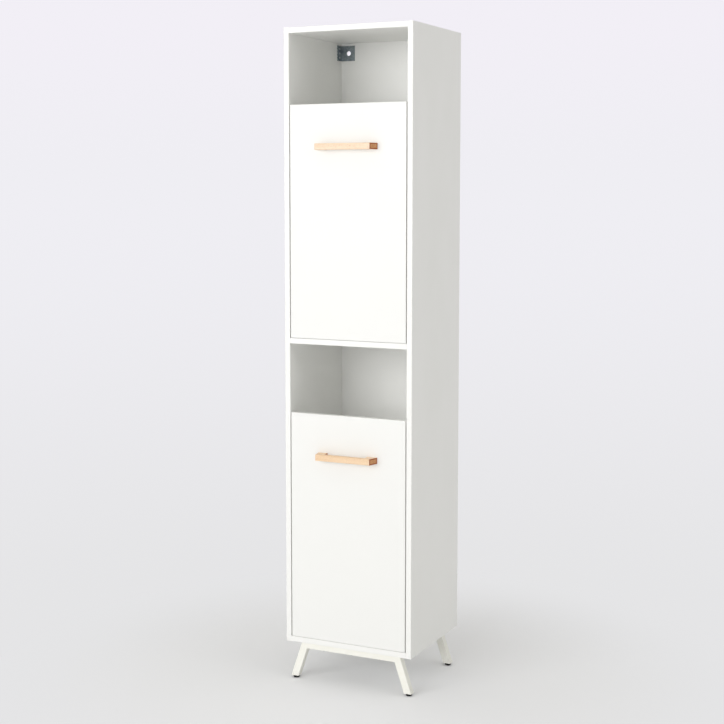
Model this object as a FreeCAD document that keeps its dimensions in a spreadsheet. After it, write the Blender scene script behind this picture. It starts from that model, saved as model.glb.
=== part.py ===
import FreeCAD, Part
import os

import Sketcher
from FreeCAD import Placement, Rotation, Vector

# Tall bathroom cabinet: a narrow case of white board with two inset doors, an open niche above
# each door, beech handles and a base of two splayed steel frames.
#
# Frame: X to the right, Y from the front to the back, Z up, millimetres. The origin lies on the
# floor, midway between the sides and midway between the handles' fronts and the case's rear.

SIZES = {
    # case
    "case_width": 400,
    "case_depth": 350,
    "case_height": 1780,
    "leg_height": 117,          # floor to the case's underside
    "board": 16,
    "edge_ease": 0.8,           # rounding of the boards' and doors' visible edges
    "fit_gap": 0.1,             # between a fastener and its hole, all round
    "end_gap": 0.2,             # between a fastener's tip and the bottom of its hole
    # back panel, held in grooves
    "back_thick": 3,
    "back_inset": 11,           # from the boards' rear edges to the back panel
    "groove_depth": 6,
    "groove_gap": 0.2,          # on each face of the back panel
    "groove_slack": 0.5,        # at each edge of the back panel
    # doors
    "door_thick": 16,
    "niche_open": 200.5,        # between a door and the board above it
    "door_gap": 3,              # between a door and each side
    "door_rise": 0.8,           # between a door and the board below it
    "stop_gap": 0.3,            # between a closed door and its stops
    # shelves
    "shelf_setback": 22,        # from the case's front to the shelves' front edges
    "niche_shelf_drop": 93.5,   # from a door's upper edge to the niche shelf's underside
    "loose_side_gap": 1,
    "loose_back_gap": 2,
    "pin_radius": 2.5,
    "pin_reach": 7,
    "pin_sink": 9,
    "pin_front": 60,            # from the case's front to the front pins
    "pin_rear": 290,
    # handles
    "handle_face": 171,         # length of the front face
    "handle_base": 188,         # length where it meets the door
    "handle_reach": 34,
    "handle_bar": 14,
    "handle_tall": 18,
    "handle_grip": 126.5,       # between the two posts
    "handle_drop": 120,         # from the door's top edge to the handle's middle
    "handle_ease": 1.2,
    "handle_screw_span": 160,
    "handle_screw_radius": 2,
    "handle_screw_sink": 19,    # how far the screw enters the handle
    "handle_screw_head": 4,
    "handle_screw_cap": 2.4,
    # leg frames of square tube
    "tube": 22,
    "tube_wall": 1.5,
    "tube_ease": 1.8,           # rounding of the tube's long edges
    "leg_inset": 43.3,          # from the case's side to the leg, at the case's underside
    "leg_splay": 0.34,          # sideways run for each unit of height
    "frame_setback": 17,        # from the case's front or rear to the frame
    "rail_screw_pitch": 90,
    "rail_screw_radius": 2.2,
    "rail_screw_bite": 13,      # how far the screw enters the bottom panel
    "rail_screw_head": 4,
    "rail_screw_cap": 2.6,
    "washer_radius": 5.5,
    "washer_thick": 1,
    # plugs and glides in the leg ends
    "glide_tall": 7.5,          # floor to the steel
    "glide_radius": 9,
    "glide_bevel": 1.5,
    "glide_stem": 3,
    "glide_stem_tall": 11,
    "plug_tall": 14,
    # wall brackets
    "bracket_width": 45,
    "bracket_tall": 45,
    "bracket_flange": 30,
    "bracket_thick": 2,
    "bracket_bend": 1.5,        # inside radius of the bend
    "bracket_notch": 2,         # radius of the notches in the flange's front edge
    "bracket_notch_pitch": 9,
    "bracket_drop": 7,          # below the top panel
    "bracket_hole": 7,          # radius
    "bracket_hole_out": 25,     # from the side to the hole
    "bracket_screw_pitch": 13,
    "bracket_screw_out": 17,    # from the back panel to the screws
    "bracket_screw_radius": 1.6,
    "bracket_screw_sink": 12,
    "bracket_screw_head": 3,
    "bracket_screw_cap": 1.2,
    # cam fittings that join the boards
    "cam_front": 50,            # from the case's front to the first row
    "cam_rear": 286,
    "cam_setback": 34,          # from the board's end to the cam's middle
    "cam_radius": 7.4,
    "cam_deep": 12.2,
    "cam_slot": 1,
    "bolt_radius": 2.5,
    "bolt_sink": 11,
    "bolt_shank": 2,
    "bolt_head": 3.3,
    "bolt_head_start": 31,
    "bolt_head_end": 36,
    "bolt_way": 4,              # radius of the bore in the board's end
    "dowel_radius": 4,
    "dowel_sink": 11,
    "dowel_reach": 18,
    "dowel_middle": 168,        # from the case's front
    # nails through the back panel
    "nail_radius": 0.8,
    "nail_head": 2.6,
    "nail_cap": 0.6,
    "nail_long": 20,
    "nail_pitch": 140,
    # door stops
    "stop_radius": 4.5,
    "stop_reach": 9,
    "stop_low": 60,             # from the door's lower edge
    "stop_high": 110,           # from the door's upper edge, under the niche shelf
    # hinges: X from the side's inner face, Y from the closed door's back
    "hinge_low": 90,            # from the door's lower edge
    "hinge_high": 133,          # from the door's upper edge
    "cup_radius": 17.4,
    "cup_margin": 3.1,          # between the cup and the door's edge
    "cup_deep": 11.5,
    "cup_wall": 0.7,
    "cup_rim": 18.6,
    "cup_rim_thick": 1,
    "cup_bevel": 2,
    "cup_screw_pitch": 48,
    "cup_screw_out": 6,
    "cup_ear": 5.5,
    "cup_screw_radius": 1.6,
    "cup_screw_sink": 10,
    "cup_screw_head": 3,
    "cup_screw_cap": 1,
    "outer_pin_side": 10.87,    # from the cup's middle towards the door's edge
    "outer_pin_deep": 7.88,
    "inner_pin_side": 11.16,
    "inner_pin_deep": 1.88,
    "cup_pin_radius": 1.25,
    "cup_pin_half": 12.2,
    "running_gap": 0.05,
    "outer_pivot_x": 33.27,
    "outer_pivot_y": 8.91,
    "inner_pivot_x": 41.05,
    "inner_pivot_y": 16.97,
    "arm_pin_radius": 1.5,
    "outer_elbow_x": 30.4,
    "outer_elbow_y": -7.76,
    "inner_elbow_x": 31.92,
    "inner_elbow_y": 3.83,
    "link_half": 2.2,
    "link_eye": 3,
    "inner_link_half_wide": 2.4,
    "lug_inside": 2.6,          # the cup's two lugs, from the middle plane
    "lug_outside": 3.6,
    "lug_half": 2,
    "lug_root": 14.9,           # from the cup's middle to the lug's rounded root
    "rim_notch_half": 8,
    "rim_notch_start": 10,      # from the cup's middle towards the door's edge
    "rim_notch_drop": 1,        # below the door's back
    "outer_link_inside": 3.8,
    "outer_link_outside": 5.6,
    "slot_half": 1.65,          # half the width of the inner link's oblong eye
    "slot_before": 0.1,         # the eye's reach from the closed pin away from the pivot
    "slot_after": 2.65,         # and towards the pivot
    "slot_shift": 0.16,         # of the eye, square to its length
    "slot_wall": 1,
    "lug_root_gap": 0.25,       # cut into the cup's wall between the lugs
    "arm_half": 3.2,
    "arm_cheek_inside": 6,
    "arm_cheek_outside": 7.5,
    "fork_end": 22,
    "arm_foot_x": 8,
    "arm_foot_start": 40,
    "arm_foot_end": 74,
    "arm_foot_half": 5,
    "plate_start": 28,
    "plate_end": 80,
    "plate_half": 9,
    "wing_start": 30,
    "wing_end": 44,
    "wing_half": 22,
    "plate_screw_half_pitch": 16,
    "plate_screw_radius": 2.5,
    "plate_screw_sink": 11,
    "plate_screw_head": 3.6,
    "plate_screw_cap": 1.4,
    "arm_screw_at": 66,
    "arm_screw_radius": 2,
    "arm_screw_head": 3.6,
    "arm_screw_cap": 1.6,
}

doc = FreeCAD.newDocument("TallBathroomCabinet")


def write_sizes():
    """Fill the sheet of driving sizes, one named cell for each."""
    sheet = doc.addObject("Spreadsheet::Sheet", "Sizes")
    for row, (name, value) in enumerate(SIZES.items(), start=1):
        sheet.set(f"A{row}", name)
        sheet.set(f"B{row}", str(value))
        sheet.setAlias(f"B{row}", name)
    doc.recompute()
    return sheet


sizes = write_sizes()


def size(name):
    """The expression that reads one driving size."""
    return f"Sizes.{name}"


# ---------------------------------------------------------------- derived places and sizes

CASE_FRONT = "((Sizes.handle_reach - Sizes.case_depth) / 2)"
CASE_LOW = "Sizes.leg_height"
INNER_WIDTH = "(Sizes.case_width - 2 * Sizes.board)"
INNER_LEFT = f"(-{INNER_WIDTH} / 2)"
INNER_RIGHT = f"({INNER_WIDTH} / 2)"
BACK_FACE = "(Sizes.case_depth - Sizes.back_inset - Sizes.back_thick)"     # from the case's front
CHAMBER = "((Sizes.case_height - 3 * Sizes.board) / 2)"                    # height of each half
DOOR_HEIGHT = f"({CHAMBER} - Sizes.niche_open - Sizes.door_rise)"
NICHE_FLOOR = f"({DOOR_HEIGHT} + Sizes.door_rise - Sizes.niche_shelf_drop)"  # above the bay's floor
BAY = f"(({NICHE_FLOOR} - Sizes.board) / 2)"                               # above and below the loose shelf
MIDDLE_LOW = f"({CASE_LOW} + Sizes.board + {CHAMBER})"
TOP_LOW = f"({CASE_LOW} + Sizes.case_height - Sizes.board)"
FLOOR_OF = {"lower": f"({CASE_LOW} + Sizes.board)", "upper": f"({MIDDLE_LOW} + Sizes.board)"}
DOOR_WIDTH = f"({INNER_WIDTH} - 2 * Sizes.door_gap)"
DOOR_LEFT = f"({INNER_LEFT} + Sizes.door_gap)"
DOOR_BACK = f"({CASE_FRONT} + Sizes.door_thick)"
CUP_X = "(Sizes.cup_margin + Sizes.cup_radius)"                            # from the door's edge
LEVELS = ("lower", "upper")


def loose_shelf_low(level):
    """Underside of the loose shelf in one half of the case."""
    return f"({FLOOR_OF[level]} + {BAY})"


def niche_shelf_low(level):
    """Underside of the shelf under one niche."""
    return f"({FLOOR_OF[level]} + {NICHE_FLOOR})"


def door_low(level):
    """Lower edge of one door."""
    return f"({FLOOR_OF[level]} + Sizes.door_rise)"


def hinge_heights(level):
    """Middles of a door's two hinges."""
    return (
        f"({door_low(level)} + Sizes.hinge_low)",
        f"({door_low(level)} + {DOOR_HEIGHT} - Sizes.hinge_high)",
    )


# ---------------------------------------------------------------- tools for modelling

def number(expression):
    """The value of an expression with the present sizes."""
    return float(sizes.evalExpression(expression))


def place(thing, x="0", y="0", z="0", turn=None):
    """Bind a thing's place, after an optional (axis, degrees) turn."""
    if turn:
        thing.Placement = Placement(Vector(), Rotation(*turn))
    for axis, where in zip("xyz", (x, y, z)):
        thing.setExpression(f"Placement.Base.{axis}", where)


def new_body(label, x="0", y="0", z="0"):
    """A body with its own label and place."""
    body = doc.addObject("PartDesign::Body", label)
    body.Label = label
    place(body, x, y, z)
    return body


def sketch(body, plane, lift="0"):
    """A sketch on one of the body's own planes, lifted along the plane's normal."""
    flat = body.newObject("Sketcher::SketchObject", f"{body.Name}_sketch")
    support = next(item for item in body.Origin.OriginFeatures if item.Role == plane)
    flat.AttachmentSupport = [(support, "")]
    flat.MapMode = "FlatFace"
    flat.setExpression("AttachmentOffset.Base.z", lift)
    return flat


def bind(flat, kind, first, expression):
    """Add a dimension to a sketch and bind it to an expression."""
    index = flat.addConstraint(Sketcher.Constraint(kind, *first, number(expression)))
    flat.setExpression(f"Constraints[{index}]", expression)


def outline(flat, points):
    """A closed outline of straight lines through points given as expressions."""
    start = flat.GeometryCount
    spots = [Vector(number(x), number(y), 0) for x, y in points]
    count = len(spots)
    for index in range(count):
        flat.addGeometry(Part.LineSegment(spots[index], spots[(index + 1) % count]))
    for index in range(count):
        following = start + (index + 1) % count
        flat.addConstraint(Sketcher.Constraint("Coincident", start + index, 2, following, 1))
    for index, (x, y) in enumerate(points):
        bind(flat, "DistanceX", (-1, 1, start + index, 1), x)
        bind(flat, "DistanceY", (-1, 1, start + index, 1), y)


def rectangle(flat, left, low, right, high):
    """A rectangle from its left, low, right and high edges."""
    outline(flat, [(left, low), (right, low), (right, high), (left, high)])


def circle(flat, x, y, radius):
    """A circle whose centre and radius are expressions."""
    index = flat.addGeometry(
        Part.Circle(Vector(number(x), number(y), 0), Vector(0, 0, 1), number(radius))
    )
    bind(flat, "DistanceX", (-1, 1, index, 3), x)
    bind(flat, "DistanceY", (-1, 1, index, 3), y)
    bind(flat, "Radius", (index,), radius)


def stadium(flat, start, end, radius):
    """A round-ended bar between two points."""
    a = Vector(number(start[0]), number(start[1]), 0)
    b = Vector(number(end[0]), number(end[1]), 0)
    half = number(radius)
    along = (b - a).normalize()
    across = Vector(-along.y, along.x, 0)
    first = flat.GeometryCount
    for centre, way in ((a, -1), (b, 1)):
        middle = centre + along * (way * half)
        side = across * (way * half)
        flat.addGeometry(Part.Arc(centre - side, middle, centre + side))
    flat.addGeometry(Part.LineSegment(a - across * half, b - across * half))
    flat.addGeometry(Part.LineSegment(b + across * half, a + across * half))
    for arc, line, arc_point, line_point in ends_of_stadium(flat, first):
        flat.addConstraint(Sketcher.Constraint("Tangent", arc, arc_point, line, line_point))
    for arc, (x, y) in ((first, start), (first + 1, end)):
        bind(flat, "DistanceX", (-1, 1, arc, 3), x)
        bind(flat, "DistanceY", (-1, 1, arc, 3), y)
    bind(flat, "Radius", (first,), radius)


def ends_of_stadium(flat, first):
    """Which arc end meets which line end, found by distance."""
    joints = []
    for arc in (first, first + 1):
        for line in (first + 2, first + 3):
            pairs = [(p, q) for p in (1, 2) for q in (1, 2)]
            near = min(pairs, key=lambda pair: meeting_gap(flat, arc, line, pair))
            joints.append((arc, line, *near))
    return joints


def meeting_gap(flat, arc, line, pair):
    """Distance between an arc's end and a line's end."""
    return flat.getPoint(arc, pair[0]).distanceToPoint(flat.getPoint(line, pair[1]))


def feature(body, kind, flat, length, back=False, middle=False):
    """A pad or pocket of one sketch."""
    made = body.newObject(f"PartDesign::{kind}", f"{body.Name}_{kind.lower()}")
    made.Profile = flat
    made.SideType = "Symmetric" if middle else "One side"
    made.Reversed = back
    made.setExpression("Length", length)
    body.Tip = made
    return made


def pad(body, flat, length, back=False, middle=False):
    """Material along the sketch's normal, or against it."""
    return feature(body, "Pad", flat, length, back, middle)


def pocket(body, flat, length, back=False, middle=False):
    """A cut against the sketch's normal, or along it, that has to take material away."""
    made = feature(body, "Pocket", flat, length, back, middle)
    cuts.append((body, made))
    return made


cuts = []


def revolve(body, flat, axis="V_Axis"):
    """A full turn of a sketch about one of its own axes."""
    made = body.newObject("PartDesign::Revolution", f"{body.Name}_turned")
    made.Profile = flat
    made.ReferenceAxis = (flat, [axis])
    made.Angle = 360
    body.Tip = made
    return made


def fillet(body, radius, chosen):
    """Round the edges that a test picks."""
    doc.recompute()
    base = body.Tip
    names = [f"Edge{i}" for i, edge in enumerate(base.Shape.Edges, start=1) if chosen(edge)]
    made = body.newObject("PartDesign::Fillet", f"{body.Name}_fillet")
    made.Base = (base, names)
    made.setExpression("Radius", radius)
    body.Tip = made
    return made


def drill(body, plane, lift, places, radius, depth, back=False):
    """Round holes of one size from a plane of the body."""
    flat = sketch(body, plane, lift)
    for x, y in places:
        circle(flat, x, y, f"{radius} + Sizes.fit_gap")
    return pocket(body, flat, depth, back)


def spindle(label, profile):
    """A turned piece about local Z, from (radius, height) corners."""
    body = new_body(label)
    flat = sketch(body, "XZ_Plane")
    outline(flat, profile)
    revolve(body, flat)
    return body


def stepped(steps):
    """The profile of a turned pin from its (radius, top) steps, the first one being its foot."""
    foot = steps[0][1]
    profile = [("0", foot)]
    level = foot
    for radius, top in steps[1:]:
        profile += [(radius, level), (radius, top)]
        level = top
    return profile + [("0", level)]


def copies(label, places):
    """One node that holds a linked copy of a piece at each (piece, x, y, z, turn)."""
    links = []
    for index, (piece, x, y, z, turn) in enumerate(places):
        link = doc.addObject("App::Link", f"{label}_{index}")
        link.LinkedObject = piece
        place(link, x, y, z, turn)
        links.append(link)
    group = doc.addObject("Part::Compound", label)
    group.Label = label
    group.Links = links
    nodes.append(group)
    return group


nodes = []

UP = Vector(0, 0, 1)
TO_RIGHT = (Vector(0, 1, 0), 90)        # local Z to +X
TO_LEFT = (Vector(0, 1, 0), -90)        # local Z to -X
TO_FRONT = (Vector(1, 0, 0), 90)        # local Z to -Y
OVER = (Vector(1, 0, 0), 180)           # upside down
ABOUT = (UP, 180)                       # half a turn about Z


# ---------------------------------------------------------------- case of boards

CAM_ROWS = (size("cam_front"), size("cam_rear"))
FIXED_BOARDS = {
    # node: (underside, front edge, depth, True where the cams enter from above)
    "bottom_panel": (CASE_LOW, "0", "Sizes.case_depth", False),
    "lower_niche_shelf": (niche_shelf_low("lower"), "Sizes.shelf_setback", BACK_FACE, False),
    "middle_shelf": (MIDDLE_LOW, "0", BACK_FACE, False),
    "upper_niche_shelf": (niche_shelf_low("upper"), "Sizes.shelf_setback", BACK_FACE, False),
    "top_panel": (TOP_LOW, "0", "Sizes.case_depth", True),
}


def above_case_low(height):
    """A height counted from the case's underside."""
    return f"({height} - {CASE_LOW})"


def groove_edges():
    """Front and rear of the groove for the back panel, from the case's front."""
    return (
        f"({BACK_FACE} - Sizes.groove_gap)",
        f"({BACK_FACE} + Sizes.back_thick + Sizes.groove_gap)",
    )


def bracket_screw_heights():
    """Heights of a wall bracket's three screws."""
    middle = f"({TOP_LOW} - Sizes.bracket_drop - Sizes.bracket_tall / 2)"
    return [f"({middle} + {step} * Sizes.bracket_screw_pitch)" for step in (-1, 0, 1)]


def side_holes(left):
    """The holes in a side: (places, radius, depth) in depth from the front and height."""
    rows = [above_case_low(low) + " + Sizes.board / 2" for low, *_ in FIXED_BOARDS.values()]
    yield [(y, z) for z in rows for y in CAM_ROWS], size("bolt_radius"), size("bolt_sink")
    yield [(size("dowel_middle"), z) for z in rows], size("dowel_radius"), size("dowel_sink")
    pins = [above_case_low(loose_shelf_low(level)) for level in LEVELS]
    yield (
        [(y, f"({z} - Sizes.pin_radius)") for z in pins for y in (size("pin_front"), size("pin_rear"))],
        size("pin_radius"),
        size("pin_sink"),
    )
    yield (
        [(f"({BACK_FACE} - Sizes.bracket_screw_out)", above_case_low(z)) for z in bracket_screw_heights()],
        size("bracket_screw_radius"),
        "(Sizes.bracket_screw_sink - Sizes.bracket_thick)",
    )
    if left:
        yield hinge_plate_holes(), size("plate_screw_radius"), size("plate_screw_sink")
    else:
        yield stop_holes(), size("pin_radius"), size("pin_sink")


def hinge_plate_holes():
    """Places of the hinge plates' screws on the left side."""
    y = "(Sizes.door_thick + (Sizes.wing_start + Sizes.wing_end) / 2)"
    heights = [z for level in LEVELS for z in hinge_heights(level)]
    return [
        (y, f"({above_case_low(z)} + {way} * Sizes.plate_screw_half_pitch)")
        for z in heights
        for way in (-1, 1)
    ]


def stop_heights(level):
    """Heights of one door's two stops."""
    low = door_low(level)
    return (f"({low} + Sizes.stop_low)", f"({low} + {DOOR_HEIGHT} - Sizes.stop_high)")


STOP_DEPTH = "(Sizes.door_thick + Sizes.stop_gap + Sizes.stop_radius)"


def stop_holes():
    """Places of the door stops on the right side."""
    return [(STOP_DEPTH, above_case_low(z)) for level in LEVELS for z in stop_heights(level)]


def side_panel(label, left):
    """A full-height side with its groove and holes, drawn from its inner face."""
    body = new_body(label, INNER_LEFT if left else INNER_RIGHT, CASE_FRONT, CASE_LOW)
    face = sketch(body, "YZ_Plane")
    rectangle(face, "0", "0", size("case_depth"), size("case_height"))
    pad(body, face, size("board"), back=left)
    fillet(body, size("edge_ease"), front_edge)
    groove = sketch(body, "YZ_Plane")
    front, rear = groove_edges()
    rectangle(groove, front, "-1", rear, "Sizes.case_height + 1")
    pocket(body, groove, size("groove_depth"), back=not left)
    for places, radius, depth in side_holes(left):
        drill(body, "YZ_Plane", "0", places, radius, depth, back=not left)
    nodes.append(body)


def front_edge(edge):
    """True for the long edges on a board's front."""
    box = edge.BoundBox
    long_enough = max(box.XLength, box.ZLength) > number("Sizes.board * 2")
    return long_enough and box.YMax < 0.01


def fixed_board(label, low, front, depth, cams_above):
    """A board between the sides, with bores for its cams, bolts and dowels."""
    body = new_body(label, INNER_LEFT, CASE_FRONT, low)
    flat = sketch(body, "XY_Plane")
    rectangle(flat, "0", front, INNER_WIDTH, depth)
    pad(body, flat, size("board"))
    fillet(body, size("edge_ease"), lambda edge: front_of(edge, front))
    bore_for_cams(body, cams_above)
    for lift, back in (("0", True), (INNER_WIDTH, False)):
        drill(body, "YZ_Plane", lift, [(y, "Sizes.board / 2") for y in CAM_ROWS],
              size("bolt_way"), size("cam_setback"), back)
        drill(body, "YZ_Plane", lift, [(size("dowel_middle"), "Sizes.board / 2")],
              size("dowel_radius"), "Sizes.dowel_reach + Sizes.end_gap", back)
    nodes.append(body)
    return body


def front_of(edge, front):
    """True for the two long edges at a board's front."""
    box = edge.BoundBox
    return box.XLength > number(INNER_WIDTH) - 1 and box.YMax < number(front) + 0.01


def bore_for_cams(body, from_above):
    """The round pockets that take the cams, from the underside or from above."""
    lift = size("board") if from_above else "0"
    ends = (size("cam_setback"), f"({INNER_WIDTH} - Sizes.cam_setback)")
    places = [(x, y) for x in ends for y in CAM_ROWS]
    drill(body, "XY_Plane", lift, places, size("cam_radius"), "Sizes.cam_deep + Sizes.fit_gap",
          back=not from_above)


def groove_board(body, lift, back):
    """The groove for the back panel along a top or bottom board."""
    groove = sketch(body, "XY_Plane", lift)
    front, rear = groove_edges()
    rectangle(groove, "-1", front, f"{INNER_WIDTH} + 1", rear)
    pocket(body, groove, size("groove_depth"), back)


def case_boards():
    """Both sides and the five fixed boards between them."""
    side_panel("left_side", True)
    side_panel("right_side", False)
    boards = {}
    for label, (low, front, depth, cams_above) in FIXED_BOARDS.items():
        boards[label] = fixed_board(label, low, front, depth, cams_above)
    groove_board(boards["bottom_panel"], size("board"), back=False)
    groove_board(boards["top_panel"], "0", back=True)
    rail_holes(boards["bottom_panel"])
    nail_holes(boards["middle_shelf"])


def rail_screw_places():
    """The leg frames' screws: X from the middle, Y from the case's front."""
    rows = ("(Sizes.frame_setback + Sizes.tube / 2)",
            "(Sizes.case_depth - Sizes.frame_setback - Sizes.tube / 2)")
    return [(f"({step} * Sizes.rail_screw_pitch)", y) for y in rows for step in (-1, 0, 1)]


def rail_holes(body):
    """Pilot holes in the bottom panel's underside for the leg frames."""
    places = [(f"({INNER_WIDTH} / 2 + {x})", y) for x, y in rail_screw_places()]
    drill(body, "XY_Plane", "0", places, size("rail_screw_radius"), "Sizes.rail_screw_bite + Sizes.end_gap",
          back=True)


def nail_places():
    """The back panel's nails into the middle shelf, from the middle of the case."""
    return [f"({step} * Sizes.nail_pitch)" for step in (-1, 0, 1)]


def nail_holes(body):
    """Nail holes in the middle shelf's rear edge."""
    places = [(f"({INNER_WIDTH} / 2 + {x})", "Sizes.board / 2") for x in nail_places()]
    drill(body, "XZ_Plane", f"-{BACK_FACE}", places, size("nail_radius"), size("nail_long"), back=True)


def back_panel():
    """The thin back, in its grooves, open behind the two wall brackets."""
    spare = "(Sizes.groove_depth - Sizes.groove_slack)"
    body = new_body("back_panel", "0", f"{CASE_FRONT} + {BACK_FACE}", CASE_LOW)
    face = sketch(body, "XZ_Plane")
    rectangle(face, f"{INNER_LEFT} - {spare}", f"Sizes.board - {spare}",
              f"{INNER_RIGHT} + {spare}", f"Sizes.case_height - Sizes.board + {spare}")
    pad(body, face, size("back_thick"), back=True)
    height = above_case_low(bracket_screw_heights()[1])
    for x in (f"({INNER_LEFT} + Sizes.bracket_hole_out)", f"({INNER_RIGHT} - Sizes.bracket_hole_out)"):
        drill(body, "XZ_Plane", "0", [(x, height)], size("bracket_hole"), size("back_thick"))
    middle = above_case_low(f"({MIDDLE_LOW} + Sizes.board / 2)")
    drill(body, "XZ_Plane", "0", [(x, middle) for x in nail_places()], size("nail_radius"),
          size("back_thick"))
    nodes.append(body)


def loose_shelf(level):
    """A shelf that lies on four pins."""
    left = f"{INNER_LEFT} + Sizes.loose_side_gap"
    body = new_body(f"{level}_loose_shelf", left, CASE_FRONT, loose_shelf_low(level))
    flat = sketch(body, "XY_Plane")
    rectangle(flat, "0", size("shelf_setback"), f"{INNER_WIDTH} - 2 * Sizes.loose_side_gap",
              f"{BACK_FACE} - Sizes.loose_back_gap")
    pad(body, flat, size("board"))
    fillet(body, size("edge_ease"), loose_front)
    nodes.append(body)


def loose_front(edge):
    """True for the two long edges at a loose shelf's front."""
    box = edge.BoundBox
    return box.XLength > number(INNER_WIDTH) / 2 and box.YMax < number("Sizes.shelf_setback") + 0.01


# ---------------------------------------------------------------- doors and handles

def handle_screw_places():
    """The handle's two screws, from the door's lower left corner."""
    return [
        (f"({DOOR_WIDTH} / 2 + {way} * Sizes.handle_screw_span / 2)",
         f"({DOOR_HEIGHT} - Sizes.handle_drop)")
        for way in (-1, 1)
    ]


def door(level):
    """An inset door with the bores for its two hinge cups."""
    body = new_body(f"{level}_door", DOOR_LEFT, CASE_FRONT, door_low(level))
    face = sketch(body, "XZ_Plane")
    rectangle(face, "0", "0", DOOR_WIDTH, DOOR_HEIGHT)
    pad(body, face, size("door_thick"), back=True)
    fillet(body, size("edge_ease"), lambda edge: edge.BoundBox.YMax < 0.01)
    drill(body, "XZ_Plane", "0", handle_screw_places(), size("handle_screw_radius"),
          size("door_thick"))
    inside = "-Sizes.door_thick"
    heights = ("Sizes.hinge_low", f"({DOOR_HEIGHT} - Sizes.hinge_high)")
    drill(body, "XZ_Plane", inside, [(CUP_X, z) for z in heights], size("cup_radius"),
          "Sizes.cup_deep + Sizes.fit_gap", back=True)
    screws = [
        (f"({CUP_X} + Sizes.cup_screw_out)", f"({z} + {way} * Sizes.cup_screw_pitch / 2)")
        for z in heights
        for way in (-1, 1)
    ]
    drill(body, "XZ_Plane", inside, screws, size("cup_screw_radius"), size("cup_screw_sink"), back=True)
    nodes.append(body)


def handle(level):
    """A wooden D handle: one bar with two posts and slanted ends."""
    middle = f"({door_low(level)} + {DOOR_HEIGHT} - Sizes.handle_drop)"
    body = new_body(f"{level}_handle", "0", CASE_FRONT, middle)
    flat = sketch(body, "XY_Plane")
    under = "-(Sizes.handle_reach - Sizes.handle_bar)"
    right = [
        ("Sizes.handle_face / 2", "-Sizes.handle_reach"),
        ("Sizes.handle_base / 2", "0"),
        ("Sizes.handle_grip / 2", "0"),
        ("Sizes.handle_grip / 2", under),
    ]
    left = [(f"-{x}", y) for x, y in reversed(right)]
    outline(flat, right + left)
    pad(body, flat, size("handle_tall"), middle=True)
    fillet(body, size("handle_ease"), lambda edge: edge.BoundBox.YMin < -0.01)
    screws = [(f"({way} * Sizes.handle_screw_span / 2)", "0") for way in (-1, 1)]
    drill(body, "XZ_Plane", "0", screws, size("handle_screw_radius"),
          "Sizes.handle_screw_sink + Sizes.end_gap", back=True)
    nodes.append(body)


def handle_screws(screw, level):
    """The two screws that hold a handle, put in from inside the door."""
    height = f"({door_low(level)} + {DOOR_HEIGHT} - Sizes.handle_drop)"
    places = [
        (screw, f"({way} * Sizes.handle_screw_span / 2)", DOOR_BACK, height, TO_FRONT)
        for way in (-1, 1)
    ]
    copies(f"{level}_handle_screws", places)


# ---------------------------------------------------------------- base

HALF_TOP = "(Sizes.case_width / 2 - Sizes.leg_inset)"
SLANT = "sqrt(1 + Sizes.leg_splay * Sizes.leg_splay)"


def leg_edge(height, inward="0"):
    """Distance from the middle to a leg's outer edge at a height, less a part of its width."""
    return f"({HALF_TOP} + Sizes.leg_splay * (Sizes.leg_height - {height}) - {inward} * {SLANT})"


def frame_outline(foot, top, rail, outside, inside):
    """Half an outline of a leg frame, from the foot round to the middle and mirrored."""
    right = [
        (leg_edge(foot, inside), foot),
        (leg_edge(foot, outside), foot),
        (leg_edge(top, outside), top),
    ]
    left = [(f"(-{x})", z) for x, z in reversed(right)]
    corner = leg_edge(rail, inside)
    return right + left + [(f"(-{corner})", rail), (corner, rail)]


def long_edge(edge):
    """Whether an edge of a frame runs along its tube, and not round a leg's end."""
    box = edge.BoundBox
    return box.YLength < 0.01 and box.ZMax > number(size("glide_tall")) + 1


def leg_frame(label, y):
    """A rail and two splayed legs of square tube, mitred and welded into one piece."""
    body = new_body(label, "0", y, "0")
    rail_low = "(Sizes.leg_height - Sizes.tube)"
    skin = sketch(body, "XZ_Plane")
    outline(skin, frame_outline(size("glide_tall"), size("leg_height"), rail_low, "0", size("tube")))
    pad(body, skin, size("tube"), middle=True)
    fillet(body, size("tube_ease"), long_edge)
    hollow = sketch(body, "XZ_Plane")
    wall = "Sizes.tube_wall"
    outline(hollow, frame_outline("(Sizes.glide_tall - 1)", f"(Sizes.leg_height - {wall})",
                                  f"({rail_low} + {wall})", wall, f"(Sizes.tube - {wall})"))
    pocket(body, hollow, f"Sizes.tube - 2 * {wall}", middle=True)
    screws = [(f"({step} * Sizes.rail_screw_pitch)", "0") for step in (-1, 0, 1)]
    drill(body, "XY_Plane", "Sizes.leg_height + 1", screws, size("rail_screw_radius"),
          "Sizes.tube + 2")
    nodes.append(body)


FRAME_Y = {
    "front": f"({CASE_FRONT} + Sizes.frame_setback + Sizes.tube / 2)",
    "rear": f"({CASE_FRONT} + Sizes.case_depth - Sizes.frame_setback - Sizes.tube / 2)",
}
FOOT_X = leg_edge(size("glide_tall"), "(Sizes.tube / 2)")


def leg_plug():
    """A plastic plug that follows the slant of a right-hand leg's end."""
    body = new_body("leg_plug_shape")
    flat = sketch(body, "XZ_Plane")
    top = "(Sizes.glide_tall + Sizes.plug_tall)"
    skin = "(Sizes.tube_wall + Sizes.fit_gap)"
    low = size("glide_tall")
    inner = f"(Sizes.tube - {skin})"
    corners = [
        (leg_edge(low, inner), low),
        (leg_edge(low, skin), low),
        (leg_edge(top, skin), top),
        (leg_edge(top, inner), top),
    ]
    outline(flat, corners)
    pad(body, flat, f"Sizes.tube - 2 * {skin}", middle=True)
    drill(body, "XY_Plane", low, [(FOOT_X, "0")], size("glide_stem"),
          "Sizes.glide_stem_tall + Sizes.end_gap", back=True)
    return body


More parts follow.
